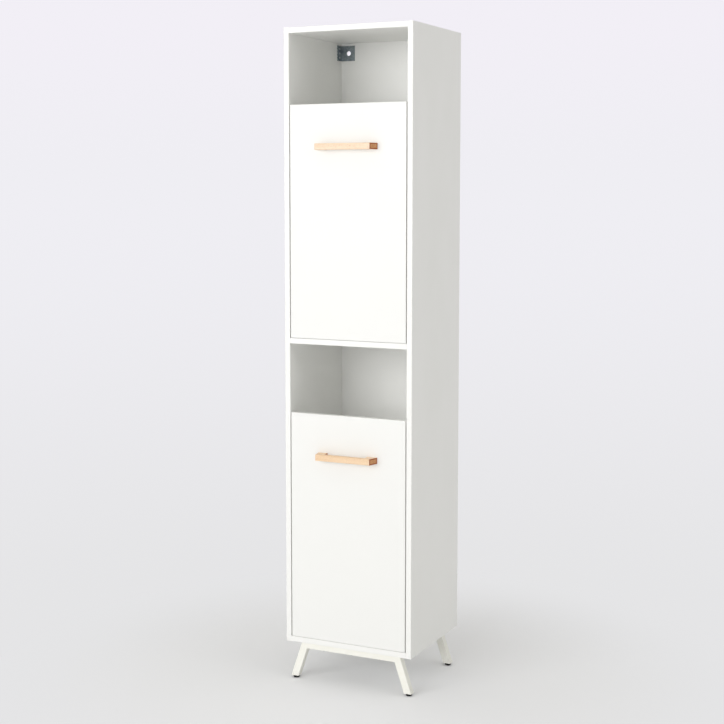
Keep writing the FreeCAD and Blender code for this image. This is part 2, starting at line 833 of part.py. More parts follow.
def base():
    """Both leg frames with their plugs, glides, screws and washers."""
    for name, y in FRAME_Y.items():
        leg_frame(f"{name}_leg_frame", y)
    plug = leg_plug()
    copies("leg_plugs", [(plug, "0", y, "0", turn) for y in FRAME_Y.values() for turn in (None, ABOUT)])
    glide = spindle("leg_glide_shape", [
        ("0", "0"), ("Sizes.glide_radius - Sizes.glide_bevel", "0"), (size("glide_radius"), size("glide_bevel")),
        (size("glide_radius"), size("glide_tall")), (size("glide_stem"), size("glide_tall")),
        (size("glide_stem"), "Sizes.glide_tall + Sizes.glide_stem_tall"),
        ("0", "Sizes.glide_tall + Sizes.glide_stem_tall"),
    ])
    copies("leg_glides", [
        (glide, f"({way} * {FOOT_X})", y, "0", None) for y in FRAME_Y.values() for way in (-1, 1)
    ])
    washer = new_body("rail_washer_shape")
    flat = sketch(washer, "XY_Plane")
    circle(flat, "0", "0", size("washer_radius"))
    circle(flat, "0", "0", "Sizes.rail_screw_radius + Sizes.fit_gap")
    pad(washer, flat, size("washer_thick"), back=True)
    screw = spindle("rail_screw_shape", stepped([
        ("0", "-Sizes.washer_thick - Sizes.rail_screw_cap"),
        (size("rail_screw_head"), "-Sizes.washer_thick"),
        (size("rail_screw_radius"), "Sizes.tube + Sizes.rail_screw_bite"),
    ]))
    under_rail = "(Sizes.leg_height - Sizes.tube)"
    spots = [(x, f"({CASE_FRONT} + {y})") for x, y in rail_screw_places()]
    copies("leg_frame_washers", [(washer, x, y, under_rail, None) for x, y in spots])
    copies("leg_frame_screws", [(screw, x, y, under_rail, None) for x, y in spots])


# ---------------------------------------------------------------- wall brackets

def upright_at(edge, inward):
    """Whether an upright edge of a bracket lies that far inward from its corner on both sides."""
    box = edge.BoundBox
    centre = box.Center
    return box.ZLength > 1 and abs(abs(centre.x) - inward) < 0.01 and abs(centre.y + inward) < 0.01


def wall_bracket(label, wall, way):
    """A bent zinc angle in a rear corner; way is 1 on the left and -1 on the right."""
    low = f"({TOP_LOW} - Sizes.bracket_drop - Sizes.bracket_tall)"
    body = new_body(label, wall, f"{CASE_FRONT} + {BACK_FACE}", low)
    flat = sketch(body, "XY_Plane")
    thick = size("bracket_thick")
    corners = [
        ("0", "0"),
        (f"({way} * Sizes.bracket_width)", "0"),
        (f"({way} * Sizes.bracket_width)", f"-{thick}"),
        (f"({way} * {thick})", f"-{thick}"),
        (f"({way} * {thick})", "-Sizes.bracket_flange"),
        ("0", "-Sizes.bracket_flange"),
    ]
    outline(flat, corners)
    pad(body, flat, size("bracket_tall"))
    fillet(body, size("bracket_bend"), lambda edge: upright_at(edge, number(thick)))
    fillet(body, f"Sizes.bracket_bend + {thick}", lambda edge: upright_at(edge, 0))
    drill(body, "XZ_Plane", "0", [(f"({way} * Sizes.bracket_hole_out)", "Sizes.bracket_tall / 2")],
          "Sizes.bracket_hole", thick, back=True)
    screws = [
        ("-Sizes.bracket_screw_out", f"(Sizes.bracket_tall / 2 + {step} * Sizes.bracket_screw_pitch)")
        for step in (-1, 0, 1)
    ]
    drill(body, "YZ_Plane", "0", screws, size("bracket_screw_radius"), thick, back=way > 0)
    notches = [
        ("-Sizes.bracket_flange", f"(Sizes.bracket_tall / 2 + {step} * Sizes.bracket_notch_pitch)")
        for step in (-2, -1, 0, 1, 2)
    ]
    drill(body, "YZ_Plane", "0", notches, size("bracket_notch"), thick, back=way > 0)
    nodes.append(body)


def wall_brackets():
    """Both brackets and their screws."""
    wall_bracket("left_wall_bracket", INNER_LEFT, 1)
    wall_bracket("right_wall_bracket", INNER_RIGHT, -1)
    screw = spindle("bracket_screw_shape", stepped([
        ("0", "-Sizes.bracket_screw_cap"),
        (size("bracket_screw_head"), "0"),
        (size("bracket_screw_radius"), "Sizes.bracket_screw_sink - Sizes.end_gap"),
    ]))
    y = f"({CASE_FRONT} + {BACK_FACE} - Sizes.bracket_screw_out)"
    faces = ((f"({INNER_LEFT} + Sizes.bracket_thick)", TO_LEFT),
             (f"({INNER_RIGHT} - Sizes.bracket_thick)", TO_RIGHT))
    copies("wall_bracket_screws", [
        (screw, x, y, z, turn) for x, turn in faces for z in bracket_screw_heights()
    ])


# ---------------------------------------------------------------- fittings that hold the boards

def cam_lock():
    """A round cam lock: a disc that opens towards the bolt, with a screwdriver slot below."""
    body = new_body("cam_lock_shape")
    flat = sketch(body, "XY_Plane")
    circle(flat, "0", "0", size("cam_radius"))
    pad(body, flat, size("cam_deep"))
    way = sketch(body, "XZ_Plane", "0")
    reach = "(Sizes.bolt_head + 2 * Sizes.fit_gap)"
    end = "(Sizes.bolt_head_end - Sizes.cam_setback + 2 * Sizes.fit_gap)"
    rectangle(way, "(-Sizes.cam_radius - 1)", f"(Sizes.board / 2 - {reach})", end,
              f"(Sizes.board / 2 + {reach})")
    pocket(body, way, f"2 * {reach}", middle=True)
    slot = sketch(body, "XY_Plane")
    half = "(Sizes.cam_slot / 2)"
    rectangle(slot, "(-Sizes.cam_radius / 2)", f"-{half}", "(Sizes.cam_radius / 2)", half)
    pocket(body, slot, size("cam_slot"), back=True)
    return body


def cam_fittings():
    """Cams, bolts and dowels at both ends of the five fixed boards."""
    cam = cam_lock()
    bolt = spindle("cam_bolt_shape", stepped([
        ("0", "-Sizes.bolt_sink + Sizes.end_gap"),
        (size("bolt_radius"), "0"),
        (size("bolt_shank"), size("bolt_head_start")),
        (size("bolt_head"), size("bolt_head_end")),
    ]))
    dowel = spindle("dowel_shape", stepped([
        ("0", "-Sizes.dowel_sink + Sizes.end_gap"),
        (size("dowel_radius"), size("dowel_reach")),
    ]))
    cams, bolts, dowels = [], [], []
    for low, _, _, above in FIXED_BOARDS.values():
        middle = f"({low} + Sizes.board / 2)"
        face = f"({low} + Sizes.board)" if above else low
        for end, inward, bolt_turn in ((INNER_LEFT, 1, TO_RIGHT), (INNER_RIGHT, -1, TO_LEFT)):
            cam_x = f"({end} + {inward} * Sizes.cam_setback)"
            for row in CAM_ROWS:
                y = f"({CASE_FRONT} + {row})"
                cams.append((cam, cam_x, y, face, cam_turn(above, inward > 0)))
                bolts.append((bolt, end, y, middle, bolt_turn))
            dowels.append((dowel, end, f"({CASE_FRONT} + Sizes.dowel_middle)", middle, bolt_turn))
    copies("cam_locks", cams)
    copies("cam_bolts", bolts)
    copies("dowels", dowels)


def cam_turn(above, at_left):
    """How a cam is turned: its mouth looks at the side, its slot looks out of the board."""
    if above:
        return OVER if at_left else (Vector(0, 1, 0), 180)
    return None if at_left else ABOUT


def back_nails():
    """Nails through the back panel into the middle shelf."""
    nail = spindle("back_nail_shape", stepped([
        ("0", "-Sizes.nail_cap"),
        (size("nail_head"), "0"),
        (size("nail_radius"), "Sizes.nail_long"),
    ]))
    y = f"({CASE_FRONT} + {BACK_FACE} + Sizes.back_thick)"
    z = f"({MIDDLE_LOW} + Sizes.board / 2)"
    copies("back_panel_nails", [(nail, x, y, z, TO_FRONT) for x in nail_places()])


def shelf_pins():
    """Four pins under each loose shelf."""
    pin = spindle("shelf_pin_shape", stepped([
        ("0", "-Sizes.pin_sink + Sizes.end_gap"),
        (size("pin_radius"), size("pin_reach")),
    ]))
    for level in LEVELS:
        height = f"({loose_shelf_low(level)} - Sizes.pin_radius)"
        copies(f"{level}_shelf_pins", [
            (pin, wall, f"({CASE_FRONT} + {y})", height, turn)
            for wall, turn in ((INNER_LEFT, TO_RIGHT), (INNER_RIGHT, TO_LEFT))
            for y in (size("pin_front"), size("pin_rear"))
        ])


def door_stops():
    """Two soft stops behind the free edge of each door."""
    stop = spindle("door_stop_shape", stepped([
        ("0", "-Sizes.pin_sink + Sizes.end_gap"),
        (size("pin_radius"), "0"),
        (size("stop_radius"), size("stop_reach")),
    ]))
    for level in LEVELS:
        copies(f"{level}_door_stops", [
            (stop, INNER_RIGHT, f"({CASE_FRONT} + {STOP_DEPTH})", z, TO_LEFT)
            for z in stop_heights(level)
        ])


# ---------------------------------------------------------------- concealed hinges
# Hinge frame: X from the side's inner face, Y from the closed door's back, Z from the hinge's
# middle. Two links of unlike length join the arm's pivots to two pins in the cup.

CUP_MIDDLE = f"(Sizes.door_gap + {CUP_X})"
OUTER_PIN = (f"({CUP_MIDDLE} - Sizes.outer_pin_side)", "(-Sizes.outer_pin_deep)")
INNER_PIN = (f"({CUP_MIDDLE} - Sizes.inner_pin_side)", "(-Sizes.inner_pin_deep)")
OUTER_PIVOT = (size("outer_pivot_x"), size("outer_pivot_y"))
INNER_PIVOT = (size("inner_pivot_x"), size("inner_pivot_y"))
OUTER_ELBOW = (size("outer_elbow_x"), "(Sizes.outer_elbow_y)")
INNER_ELBOW = (size("inner_elbow_x"), size("inner_elbow_y"))
FOOT_START = (size("arm_foot_x"), size("arm_foot_start"))
FOOT_END = (size("arm_foot_x"), size("arm_foot_end"))


def bar(body, start, end, half, wide):
    """A round-ended bar, centred on the hinge's middle plane."""
    flat = sketch(body, "XY_Plane")
    stadium(flat, start, end, half)
    pad(body, flat, wide, middle=True)


def disc(body, centre, radius, wide):
    """A round eye, centred on the hinge's middle plane."""
    flat = sketch(body, "XY_Plane")
    circle(flat, *centre, radius)
    pad(body, flat, wide, middle=True)


def eye(body, centre, pin, wide):
    """A pin's running hole, through the middle plane."""
    flat = sketch(body, "XY_Plane")
    circle(flat, *centre, f"{pin} + Sizes.running_gap")
    pocket(body, flat, wide, middle=True)


def hinge_cup():
    """The bowl, its notched rim, two screw ears, two lugs and the holes that hold its pins."""
    body = new_body("hinge_cup_shape")
    profile = sketch(body, "XY_Plane")
    inside = "(Sizes.cup_radius - Sizes.cup_wall)"
    floor = "(-Sizes.cup_deep + Sizes.cup_wall)"
    outline(profile, [
        ("0", "-Sizes.cup_deep"),
        ("Sizes.cup_radius - Sizes.cup_bevel", "-Sizes.cup_deep"),
        (size("cup_radius"), "-Sizes.cup_deep + Sizes.cup_bevel"),
        (size("cup_radius"), "0"),
        (size("cup_rim"), "0"),
        (size("cup_rim"), size("cup_rim_thick")),
        (inside, size("cup_rim_thick")),
        (inside, f"{floor} + Sizes.cup_bevel"),
        (f"{inside} - Sizes.cup_bevel", floor),
        ("0", floor),
    ])
    revolve(body, profile)
    ears = sketch(body, "XZ_Plane")
    stadium(ears, ("Sizes.cup_screw_out", "-Sizes.cup_screw_pitch / 2"),
            ("Sizes.cup_screw_out", "Sizes.cup_screw_pitch / 2"), size("cup_ear"))
    pad(body, ears, size("cup_rim_thick"), back=True)
    mouth = sketch(body, "XZ_Plane", "-Sizes.cup_rim_thick - 1")
    circle(mouth, "0", "0", inside)
    pocket(body, mouth, "Sizes.cup_rim_thick + 2", back=True)
    notch = sketch(body, "XZ_Plane", size("rim_notch_drop"))
    rectangle(notch, "-Sizes.cup_rim - 1", "-Sizes.rim_notch_half", "-Sizes.rim_notch_start",
              size("rim_notch_half"))
    pocket(body, notch, "Sizes.rim_notch_drop + Sizes.cup_rim_thick")
    screws = [("Sizes.cup_screw_out", f"({way} * Sizes.cup_screw_pitch / 2)") for way in (-1, 1)]
    drill(body, "XZ_Plane", "0", screws, size("cup_screw_radius"), size("cup_rim_thick"))
    outer = ("(-Sizes.outer_pin_side)", "(-Sizes.outer_pin_deep)")
    inner = ("(-Sizes.inner_pin_side)", "(-Sizes.inner_pin_deep)")
    bar(body, ("(-Sizes.lug_root)", inner[1]), inner, size("lug_half"), "2 * Sizes.lug_outside")
    between = sketch(body, "XY_Plane")
    rectangle(between, f"-{inside} - Sizes.lug_root_gap", f"{inner[1]} - 2 * Sizes.lug_half",
              f"{inner[0]} + 2 * Sizes.lug_half", f"{inner[1]} + 2 * Sizes.lug_half")
    pocket(body, between, "2 * Sizes.lug_inside", middle=True)
    eye(body, inner, size("cup_pin_radius"), "2 * Sizes.lug_outside + 0.2")
    eye(body, outer, size("cup_pin_radius"), "2 * Sizes.cup_pin_half + 0.2")
    return body


def outer_link():
    """The deeper link: two cheeks joined by a round bridge at their elbow."""
    body = new_body("outer_link_shape")
    wide = "2 * Sizes.outer_link_outside"
    bar(body, OUTER_PIN, OUTER_ELBOW, size("link_half"), wide)
    bar(body, OUTER_ELBOW, OUTER_PIVOT, size("link_half"), wide)
    disc(body, OUTER_PIVOT, size("link_eye"), wide)
    gap = sketch(body, "XY_Plane")
    rectangle(gap, "0", "-2 * Sizes.cup_deep", "2 * Sizes.inner_pivot_x", "2 * Sizes.inner_pivot_y")
    pocket(body, gap, "2 * Sizes.outer_link_inside", middle=True)
    disc(body, OUTER_ELBOW, size("link_half"), wide)
    eye(body, OUTER_PIN, size("cup_pin_radius"), wide)
    eye(body, OUTER_PIVOT, size("arm_pin_radius"), wide)
    return body


def inner_link():
    """The shallower link: one bent plate with an oblong eye at the cup."""
    body = new_body("inner_link_shape")
    wide = "2 * Sizes.inner_link_half_wide"
    near, far = slot_ends()
    bar(body, near, far, "Sizes.slot_half + Sizes.slot_wall", wide)
    bar(body, far, INNER_ELBOW, size("link_half"), wide)
    bar(body, INNER_ELBOW, INNER_PIVOT, size("link_half"), wide)
    disc(body, INNER_PIVOT, size("link_eye"), wide)
    slot = sketch(body, "XY_Plane")
    stadium(slot, near, far, size("slot_half"))
    pocket(body, slot, wide, middle=True)
    eye(body, INNER_PIVOT, size("arm_pin_radius"), wide)
    return body


def slot_ends():
    """The oblong eye's two centres, beside the line from the cup's pin to the arm's pivot."""
    run = f"({INNER_PIVOT[0]} - {INNER_PIN[0]})"
    rise = f"({INNER_PIVOT[1]} - {INNER_PIN[1]})"
    length = f"sqrt({run} * {run} + {rise} * {rise})"
    ends = []
    for reach in ("(-Sizes.slot_before)", "Sizes.slot_after"):
        along = (f"{reach} * {run} / {length}", f"{reach} * {rise} / {length}")
        ends.append((f"({INNER_PIN[0]} + {along[0]} - Sizes.slot_shift * {rise} / {length})",
                     f"({INNER_PIN[1]} + {along[1]} + Sizes.slot_shift * {run} / {length})"))
    return ends


def hinge_arm():
    """The arm: a foot on the mounting plate and a forked nose with both pivots."""
    body = new_body("hinge_arm_shape")
    wide = "2 * Sizes.arm_cheek_outside"
    web = sketch(body, "XY_Plane")
    outline(web, [OUTER_PIVOT, INNER_PIVOT, FOOT_START])
    pad(body, web, wide, middle=True)
    for start, end in ((OUTER_PIVOT, INNER_PIVOT), (OUTER_PIVOT, FOOT_START), (INNER_PIVOT, FOOT_START)):
        bar(body, start, end, size("arm_half"), wide)
    bar(body, FOOT_START, FOOT_END, size("arm_foot_half"), wide)
    fork = sketch(body, "XY_Plane")
    rectangle(fork, "0", "-10", "60", size("fork_end"))
    pocket(body, fork, "2 * Sizes.arm_cheek_inside", middle=True)
    for pivot in (OUTER_PIVOT, INNER_PIVOT):
        eye(body, pivot, size("arm_pin_radius"), f"{wide} + 1")
    drill(body, "YZ_Plane", "0", [(size("arm_screw_at"), "0")], size("arm_screw_radius"),
          "Sizes.arm_foot_x + Sizes.arm_foot_half + 1", back=True)
    return body


def mounting_plate():
    """The cross-shaped plate that is screwed to the side and carries the arm."""
    body = new_body("hinge_plate_shape")
    thick = "Sizes.arm_foot_x - Sizes.arm_foot_half"
    base_plate = sketch(body, "YZ_Plane")
    rectangle(base_plate, size("plate_start"), "-Sizes.plate_half", size("plate_end"), size("plate_half"))
    pad(body, base_plate, thick)
    wings = sketch(body, "YZ_Plane")
    rectangle(wings, size("wing_start"), "-Sizes.wing_half", size("wing_end"), size("wing_half"))
    pad(body, wings, thick)
    y = "((Sizes.wing_start + Sizes.wing_end) / 2)"
    drill(body, "YZ_Plane", "0", [(y, f"({way} * Sizes.plate_screw_half_pitch)") for way in (-1, 1)],
          size("plate_screw_radius"), thick, back=True)
    drill(body, "YZ_Plane", "0", [(size("arm_screw_at"), "0")], size("arm_screw_radius"), thick, back=True)
    return body


def pin(label, radius, low, high):
    """A plain pin between two distances from the hinge's middle plane."""
    return spindle(label, stepped([("0", low), (radius, high)]))


def hinges():
    """Two hinges on each door; each kind of piece is one node for each door."""
    cup, outer, inner = hinge_cup(), outer_link(), inner_link()
    arm, plate = hinge_arm(), mounting_plate()
    cup_pins = (
        pin("outer_cup_pin_shape", size("cup_pin_radius"), size("outer_link_inside"), size("cup_pin_half")),
        pin("inner_cup_pin_shape", size("cup_pin_radius"), "-Sizes.lug_outside", size("lug_outside")),
    )
    arm_pins = (
        pin("outer_arm_pin_shape", size("arm_pin_radius"), size("outer_link_inside"),
            size("arm_cheek_outside")),
        pin("inner_arm_pin_shape", size("arm_pin_radius"), "-Sizes.arm_cheek_outside",
            size("arm_cheek_outside")),
    )
    cup_screw = spindle("cup_screw_shape", stepped([
        ("0", "-Sizes.cup_rim_thick - Sizes.cup_screw_cap"),
        (size("cup_screw_head"), "-Sizes.cup_rim_thick"),
        (size("cup_screw_radius"), "Sizes.cup_screw_sink - Sizes.end_gap"),
    ]))
    plate_screw = spindle("plate_screw_shape", stepped([
        ("0", "-(Sizes.arm_foot_x - Sizes.arm_foot_half) - Sizes.plate_screw_cap"),
        (size("plate_screw_head"), "-(Sizes.arm_foot_x - Sizes.arm_foot_half)"),
        (size("plate_screw_radius"), "Sizes.plate_screw_sink - Sizes.end_gap"),
    ]))
    arm_screw = spindle("arm_screw_shape", stepped([
        ("0", "-Sizes.arm_foot_x - Sizes.arm_foot_half - Sizes.arm_screw_cap"),
        (size("arm_screw_head"), "-Sizes.arm_foot_x - Sizes.arm_foot_half"),
        (size("arm_screw_radius"), "-Sizes.end_gap"),
    ]))
    for level in LEVELS:
        heights = hinge_heights(level)
        whole = [(INNER_LEFT, DOOR_BACK, z, None) for z in heights]
        cups = [(f"({INNER_LEFT} + {CUP_MIDDLE})", DOOR_BACK, z, None) for z in heights]
        copies(f"{level}_hinge_cups", [(cup, *spot) for spot in cups])
        copies(f"{level}_outer_links", [(outer, *spot) for spot in whole])
        copies(f"{level}_inner_links", [(inner, *spot) for spot in whole])
        copies(f"{level}_hinge_arms", [(arm, *spot) for spot in whole])
        copies(f"{level}_hinge_plates", [(plate, *spot) for spot in whole])
        copies(f"{level}_cup_pins", at_pivots(cup_pins, heights, (OUTER_PIN, INNER_PIN)))
        copies(f"{level}_arm_pins", at_pivots(arm_pins, heights, (OUTER_PIVOT, INNER_PIVOT)))
        copies(f"{level}_cup_screws", [
            (cup_screw, f"({INNER_LEFT} + {CUP_MIDDLE} + Sizes.cup_screw_out)", DOOR_BACK,
             f"({z} + {way} * Sizes.cup_screw_pitch / 2)", TO_FRONT)
            for z in heights
            for way in (-1, 1)
        ])
        wing_y = f"({DOOR_BACK} + (Sizes.wing_start + Sizes.wing_end) / 2)"
        copies(f"{level}_plate_screws", [
            (plate_screw, INNER_LEFT, wing_y, f"({z} + {way} * Sizes.plate_screw_half_pitch)", TO_LEFT)
            for z in heights
            for way in (-1, 1)
        ])
        copies(f"{level}_arm_screws", [
            (arm_screw, INNER_LEFT, f"({DOOR_BACK} + Sizes.arm_screw_at)", z, TO_LEFT) for z in heights
        ])


def at_pivots(pins, heights, pivots):
    """An outer link's two short pins and an inner link's long one, at every hinge."""
    places = []
    for z in heights:
        for piece, (x, y), turns in zip(pins, pivots, ((None, OVER), (None,))):
            spot = (f"({INNER_LEFT} + {x})", f"({DOOR_BACK} + {y})", z)
            places += [(piece, *spot, turn) for turn in turns]
    return places


# ---------------------------------------------------------------- the whole object

def build():
    """Model every piece."""
    case_boards()
    back_panel()
    for level in LEVELS:
        loose_shelf(level)
        door(level)
        handle(level)
    handle_screw = spindle("handle_screw_shape", stepped([
        ("0", "-Sizes.handle_screw_cap"),
        (size("handle_screw_head"), "0"),
        (size("handle_screw_radius"), "Sizes.door_thick + Sizes.handle_screw_sink"),
    ]))
    for level in LEVELS:
        handle_screws(handle_screw, level)
    base()
    wall_brackets()
    cam_fittings()
    back_nails()
    shelf_pins()
    door_stops()
    hinges()
    doc.recompute()


def check():
    """Stop on a failed feature, a broken shape or a cut that takes nothing away."""
    for item in doc.Objects:
        if {"Invalid", "Error"} & set(item.State):
            raise RuntimeError(f"{item.Label} failed: {item.State}")
    for body, made in cuts:
        before = made.BaseFeature.Shape.Volume
        if made.Shape.Volume > before - 1e-6:
            raise RuntimeError(f"a cut in {body.Label} takes nothing away")
    for node in nodes:
        if node.Shape.isNull() or not node.Shape.isValid() or not node.Shape.Solids:
            raise RuntimeError(f"{node.Label} has no valid shape")


def write():
    """Write one file for each node."""
    os.makedirs("parts", exist_ok=True)
    for node in nodes:
        node.Shape.exportStep(os.path.join("parts", f"{node.Label}.step"))
    print(f"{len(nodes)} nodes written")


build()
check()
write()
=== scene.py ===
"""Tall bathroom cabinet: the looks of a white foil case on a white steel base.

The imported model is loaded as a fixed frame. Its nodes get procedural finishes, and the small
metal and plastic pieces that show their detail from near are modelled here and stand for theirs.
"""

import logging
import math
from collections.abc import Callable, Mapping, Sequence
from dataclasses import dataclass
from enum import Enum
from typing import Any, Union

import bpy
from mathutils import Matrix, Vector


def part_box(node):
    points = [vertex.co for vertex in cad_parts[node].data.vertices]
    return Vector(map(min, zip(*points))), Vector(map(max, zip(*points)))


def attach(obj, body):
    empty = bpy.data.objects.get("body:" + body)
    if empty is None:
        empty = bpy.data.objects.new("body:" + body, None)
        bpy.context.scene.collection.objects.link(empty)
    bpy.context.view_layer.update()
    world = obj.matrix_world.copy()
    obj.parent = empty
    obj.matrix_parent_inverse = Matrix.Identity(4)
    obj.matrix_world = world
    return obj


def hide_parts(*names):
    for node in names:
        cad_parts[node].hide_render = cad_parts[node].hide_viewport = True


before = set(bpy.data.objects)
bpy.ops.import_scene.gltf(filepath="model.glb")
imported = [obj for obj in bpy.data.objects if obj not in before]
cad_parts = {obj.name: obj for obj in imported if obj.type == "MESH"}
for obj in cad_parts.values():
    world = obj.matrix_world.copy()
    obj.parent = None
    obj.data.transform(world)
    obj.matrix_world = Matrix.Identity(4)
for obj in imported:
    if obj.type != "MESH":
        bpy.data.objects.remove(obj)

log = logging.getLogger("cabinet")

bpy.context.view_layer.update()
LEVELS = ("lower", "upper")
MM = 0.001

Colour = tuple[float, float, float]
Term = Union["Value", float, Sequence[float]]
Shade = Union["Value", Colour]


# ---------------------------------------------------------------- shader expressions


class Value:
    """One output socket, with arithmetic that adds Math nodes to its graph."""

    def __init__(self, graph: "Graph", socket: bpy.types.NodeSocket) -> None:
        """Wrap a socket.

        Args:
            graph: The graph that the socket belongs to.
            socket: The output socket.
        """
        self.graph = graph
        self.socket = socket

    def math(self, operation: str, *terms: Term) -> "Value":
        """Add a Math node.

        Args:
            operation: The Math node's operation.
            terms: Its inputs, in order.

        Returns:
            The node's result.
        """
        made = self.graph.node("ShaderNodeMath", {"operation": operation}, dict(enumerate(terms)))
        return Value(self.graph, made.outputs[0])

    def __add__(self, other: Term) -> "Value":
        """This plus another."""
        return self.math("ADD", self, other)

    def __radd__(self, other: Term) -> "Value":
        """Another plus this."""
        return self.math("ADD", other, self)

    def __sub__(self, other: Term) -> "Value":
        """This less another."""
        return self.math("SUBTRACT", self, other)

    def __rsub__(self, other: Term) -> "Value":
        """Another less this."""
        return self.math("SUBTRACT", other, self)

    def __mul__(self, other: Term) -> "Value":
        """This times another."""
        return self.math("MULTIPLY", self, other)

    def __rtruediv__(self, other: Term) -> "Value":
        """Another over this."""
        return self.math("DIVIDE", other, self)

    def __pow__(self, other: Term) -> "Value":
        """This to a power."""
        return self.math("POWER", self, other)

    def __abs__(self) -> "Value":
        """This without its sign."""
        return self.math("ABSOLUTE", self)

    def least(self, other: Term) -> "Value":
        """The smaller of this and another."""
        return self.math("MINIMUM", self, other)

    def most(self, other: Term) -> "Value":
        """The larger of this and another."""
        return self.math("MAXIMUM", self, other)

    def rise(self, low: float, high: float) -> "Value":
        """A smooth step from 0 at low to 1 at high; it falls where low is above high.

        Args:
            low: Where the step starts.
            high: Where the step ends.

        Returns:
            The step, from 0 to 1.
        """
        start, end, first, last = (low, high, 0.0, 1.0) if low < high else (high, low, 1.0, 0.0)
        made = self.graph.node(
            "ShaderNodeMapRange",
            {"interpolation_type": "SMOOTHSTEP"},
            {"Value": self, "From Min": start, "From Max": end, "To Min": first, "To Max": last},
        )
        return Value(self.graph, made.outputs["Result"])


class Graph:
    """The nodes of one material or of the world."""

    def __init__(self, tree: bpy.types.NodeTree) -> None:
        """Start from an empty tree.

        Args:
            tree: The tree to fill.
        """
        tree.nodes.clear()
        self.tree = tree

    def node(
        self, kind: str, settings: Mapping[str, Any], values: Mapping[Any, Term]
    ) -> bpy.types.Node:
        """Add any node.

        Args:
            kind: The node's type.
            settings: Its properties.
            values: What feeds each input, by name or number.

        Returns:
            The new node.
        """
        made = self.tree.nodes.new(kind)
        for name, value in settings.items():
            setattr(made, name, value)
        for name, value in values.items():
            if isinstance(value, Value):
                self.tree.links.new(value.socket, made.inputs[name])
            else:
                made.inputs[name].default_value = value
        return made

    def coordinates(self, output: str = "Object") -> Value:
        """One output of the Texture Coordinate node."""
        return Value(self, self.node("ShaderNodeTexCoord", {}, {}).outputs[output])

    def parts(self, vector: Value) -> tuple[Value, Value, Value]:
        """The X, Y and Z of a vector."""
        made = self.node("ShaderNodeSeparateXYZ", {}, {0: vector})
        return tuple(Value(self, output) for output in made.outputs)

    def stretched(self, scale: Sequence[float], shift: Sequence[float] = (0.0, 0.0, 0.0)) -> Value:
        """Object coordinates times a scale for each axis.

        Args:
            scale: How many units of the pattern fit in a metre, along each axis.
            shift: Where the pattern starts, in units of the pattern.

        Returns:
            The scaled coordinates.
        """
        made = self.node(
            "ShaderNodeMapping",
            {"vector_type": "POINT"},
            {"Vector": self.coordinates(), "Location": tuple(shift), "Scale": tuple(scale)},
        )
        return Value(self, made.outputs[0])

    def noise(self, where: Value, detail: float, rough: float = 0.5) -> Value:
        """Cloudy noise from 0 to 1.

        Args:
            where: The coordinates.
            detail: How many finer layers it has.
            rough: How strong the finer layers are.

        Returns:
            The noise.
        """
        made = self.node(
            "ShaderNodeTexNoise",
            {},
            {"Vector": where, "Scale": 1.0, "Detail": detail, "Roughness": rough},
        )
        return Value(self, made.outputs["Fac"])

    def cells(self, where: Value) -> Value:
        """A flat random grey for each crystal-like cell, from 0 to 1."""
        made = self.node("ShaderNodeTexVoronoi", {"feature": "F1"}, {"Vector": where, "Scale": 1.0})
        return self.parts(Value(self, made.outputs["Color"]))[0]

    def blend(self, share: Term, first: Shade, second: Shade) -> Value:
        """A colour between two colours.

        Args:
            share: How much of the second there is, from 0 to 1.
            first: A colour or a colour's socket.
            second: The same.

        Returns:
            The blended colour.
        """
        one, other = (side if isinstance(side, Value) else (*side, 1.0) for side in (first, second))
        made = self.node("ShaderNodeMix", {"data_type": "RGBA"}, {0: share, 6: one, 7: other})
        return Value(self, made.outputs[2])

    def mix(self, share: Value, first: bpy.types.Node, second: bpy.types.Node) -> bpy.types.Node:
        """A shader between two shaders.

        Args:
            share: How much of the second there is, from 0 to 1.
            first: The first shader's node.
            second: The second shader's node.

        Returns:
            The Mix Shader node.
        """
        one, other = Value(self, first.outputs[0]), Value(self, second.outputs[0])
        return self.node("ShaderNodeMixShader", {}, {0: share, 1: one, 2: other})

    def bump(self, height: Value, distance: float, strength: float = 1.0) -> Value:
        """A normal bent by a height.

        Args:
            height: The height, from 0 to 1.
            distance: What a height of 1 is, in metres.
            strength: How much of it shows.

        Returns:
            The normal.
        """
        made = self.node(
            "ShaderNodeBump", {}, {"Height": height, "Distance": distance, "Strength": strength}
        )
        return Value(self, made.outputs[0])

    def surface(self, **values: Term) -> None:
        """End in a Principled shader.

        Args:
            values: Its inputs, with _ for the spaces in their names.
        """
        named = {name.replace("_", " "): value for name, value in values.items()}
        shader = self.node("ShaderNodeBsdfPrincipled", {}, named)
        self.end(shader)

    def end(self, shader: bpy.types.Node, output: str = "ShaderNodeOutputMaterial") -> None:
        """Join a shader to the output."""
        self.node(output, {}, {0: Value(self, shader.outputs[0])})


def linear(red: float, green: float, blue: float) -> Colour:
    """A screen colour, each part from 0 to 255, as scene light, by the sRGB curve."""
    parts = (channel / 255 for channel in (red, green, blue))
    return tuple(p / 12.92 if p <= 0.04045 else ((p + 0.055) / 1.055) ** 2.4 for p in parts)


# ---------------------------------------------------------------- finishes


class Finish:
    """What a piece's surface is made of."""

    label: str

    def paint(self, graph: Graph) -> None:
        """Build the finish's nodes in an empty graph."""
        raise NotImplementedError

    def material(self) -> bpy.types.Material:
        """The finish's material, made once.

        Returns:
            The material.
        """
        found = bpy.data.materials.get(self.label)
        if found is None:
            found = bpy.data.materials.new(self.label)
            found.use_nodes = True
            self.paint(Graph(found.node_tree))
        return found


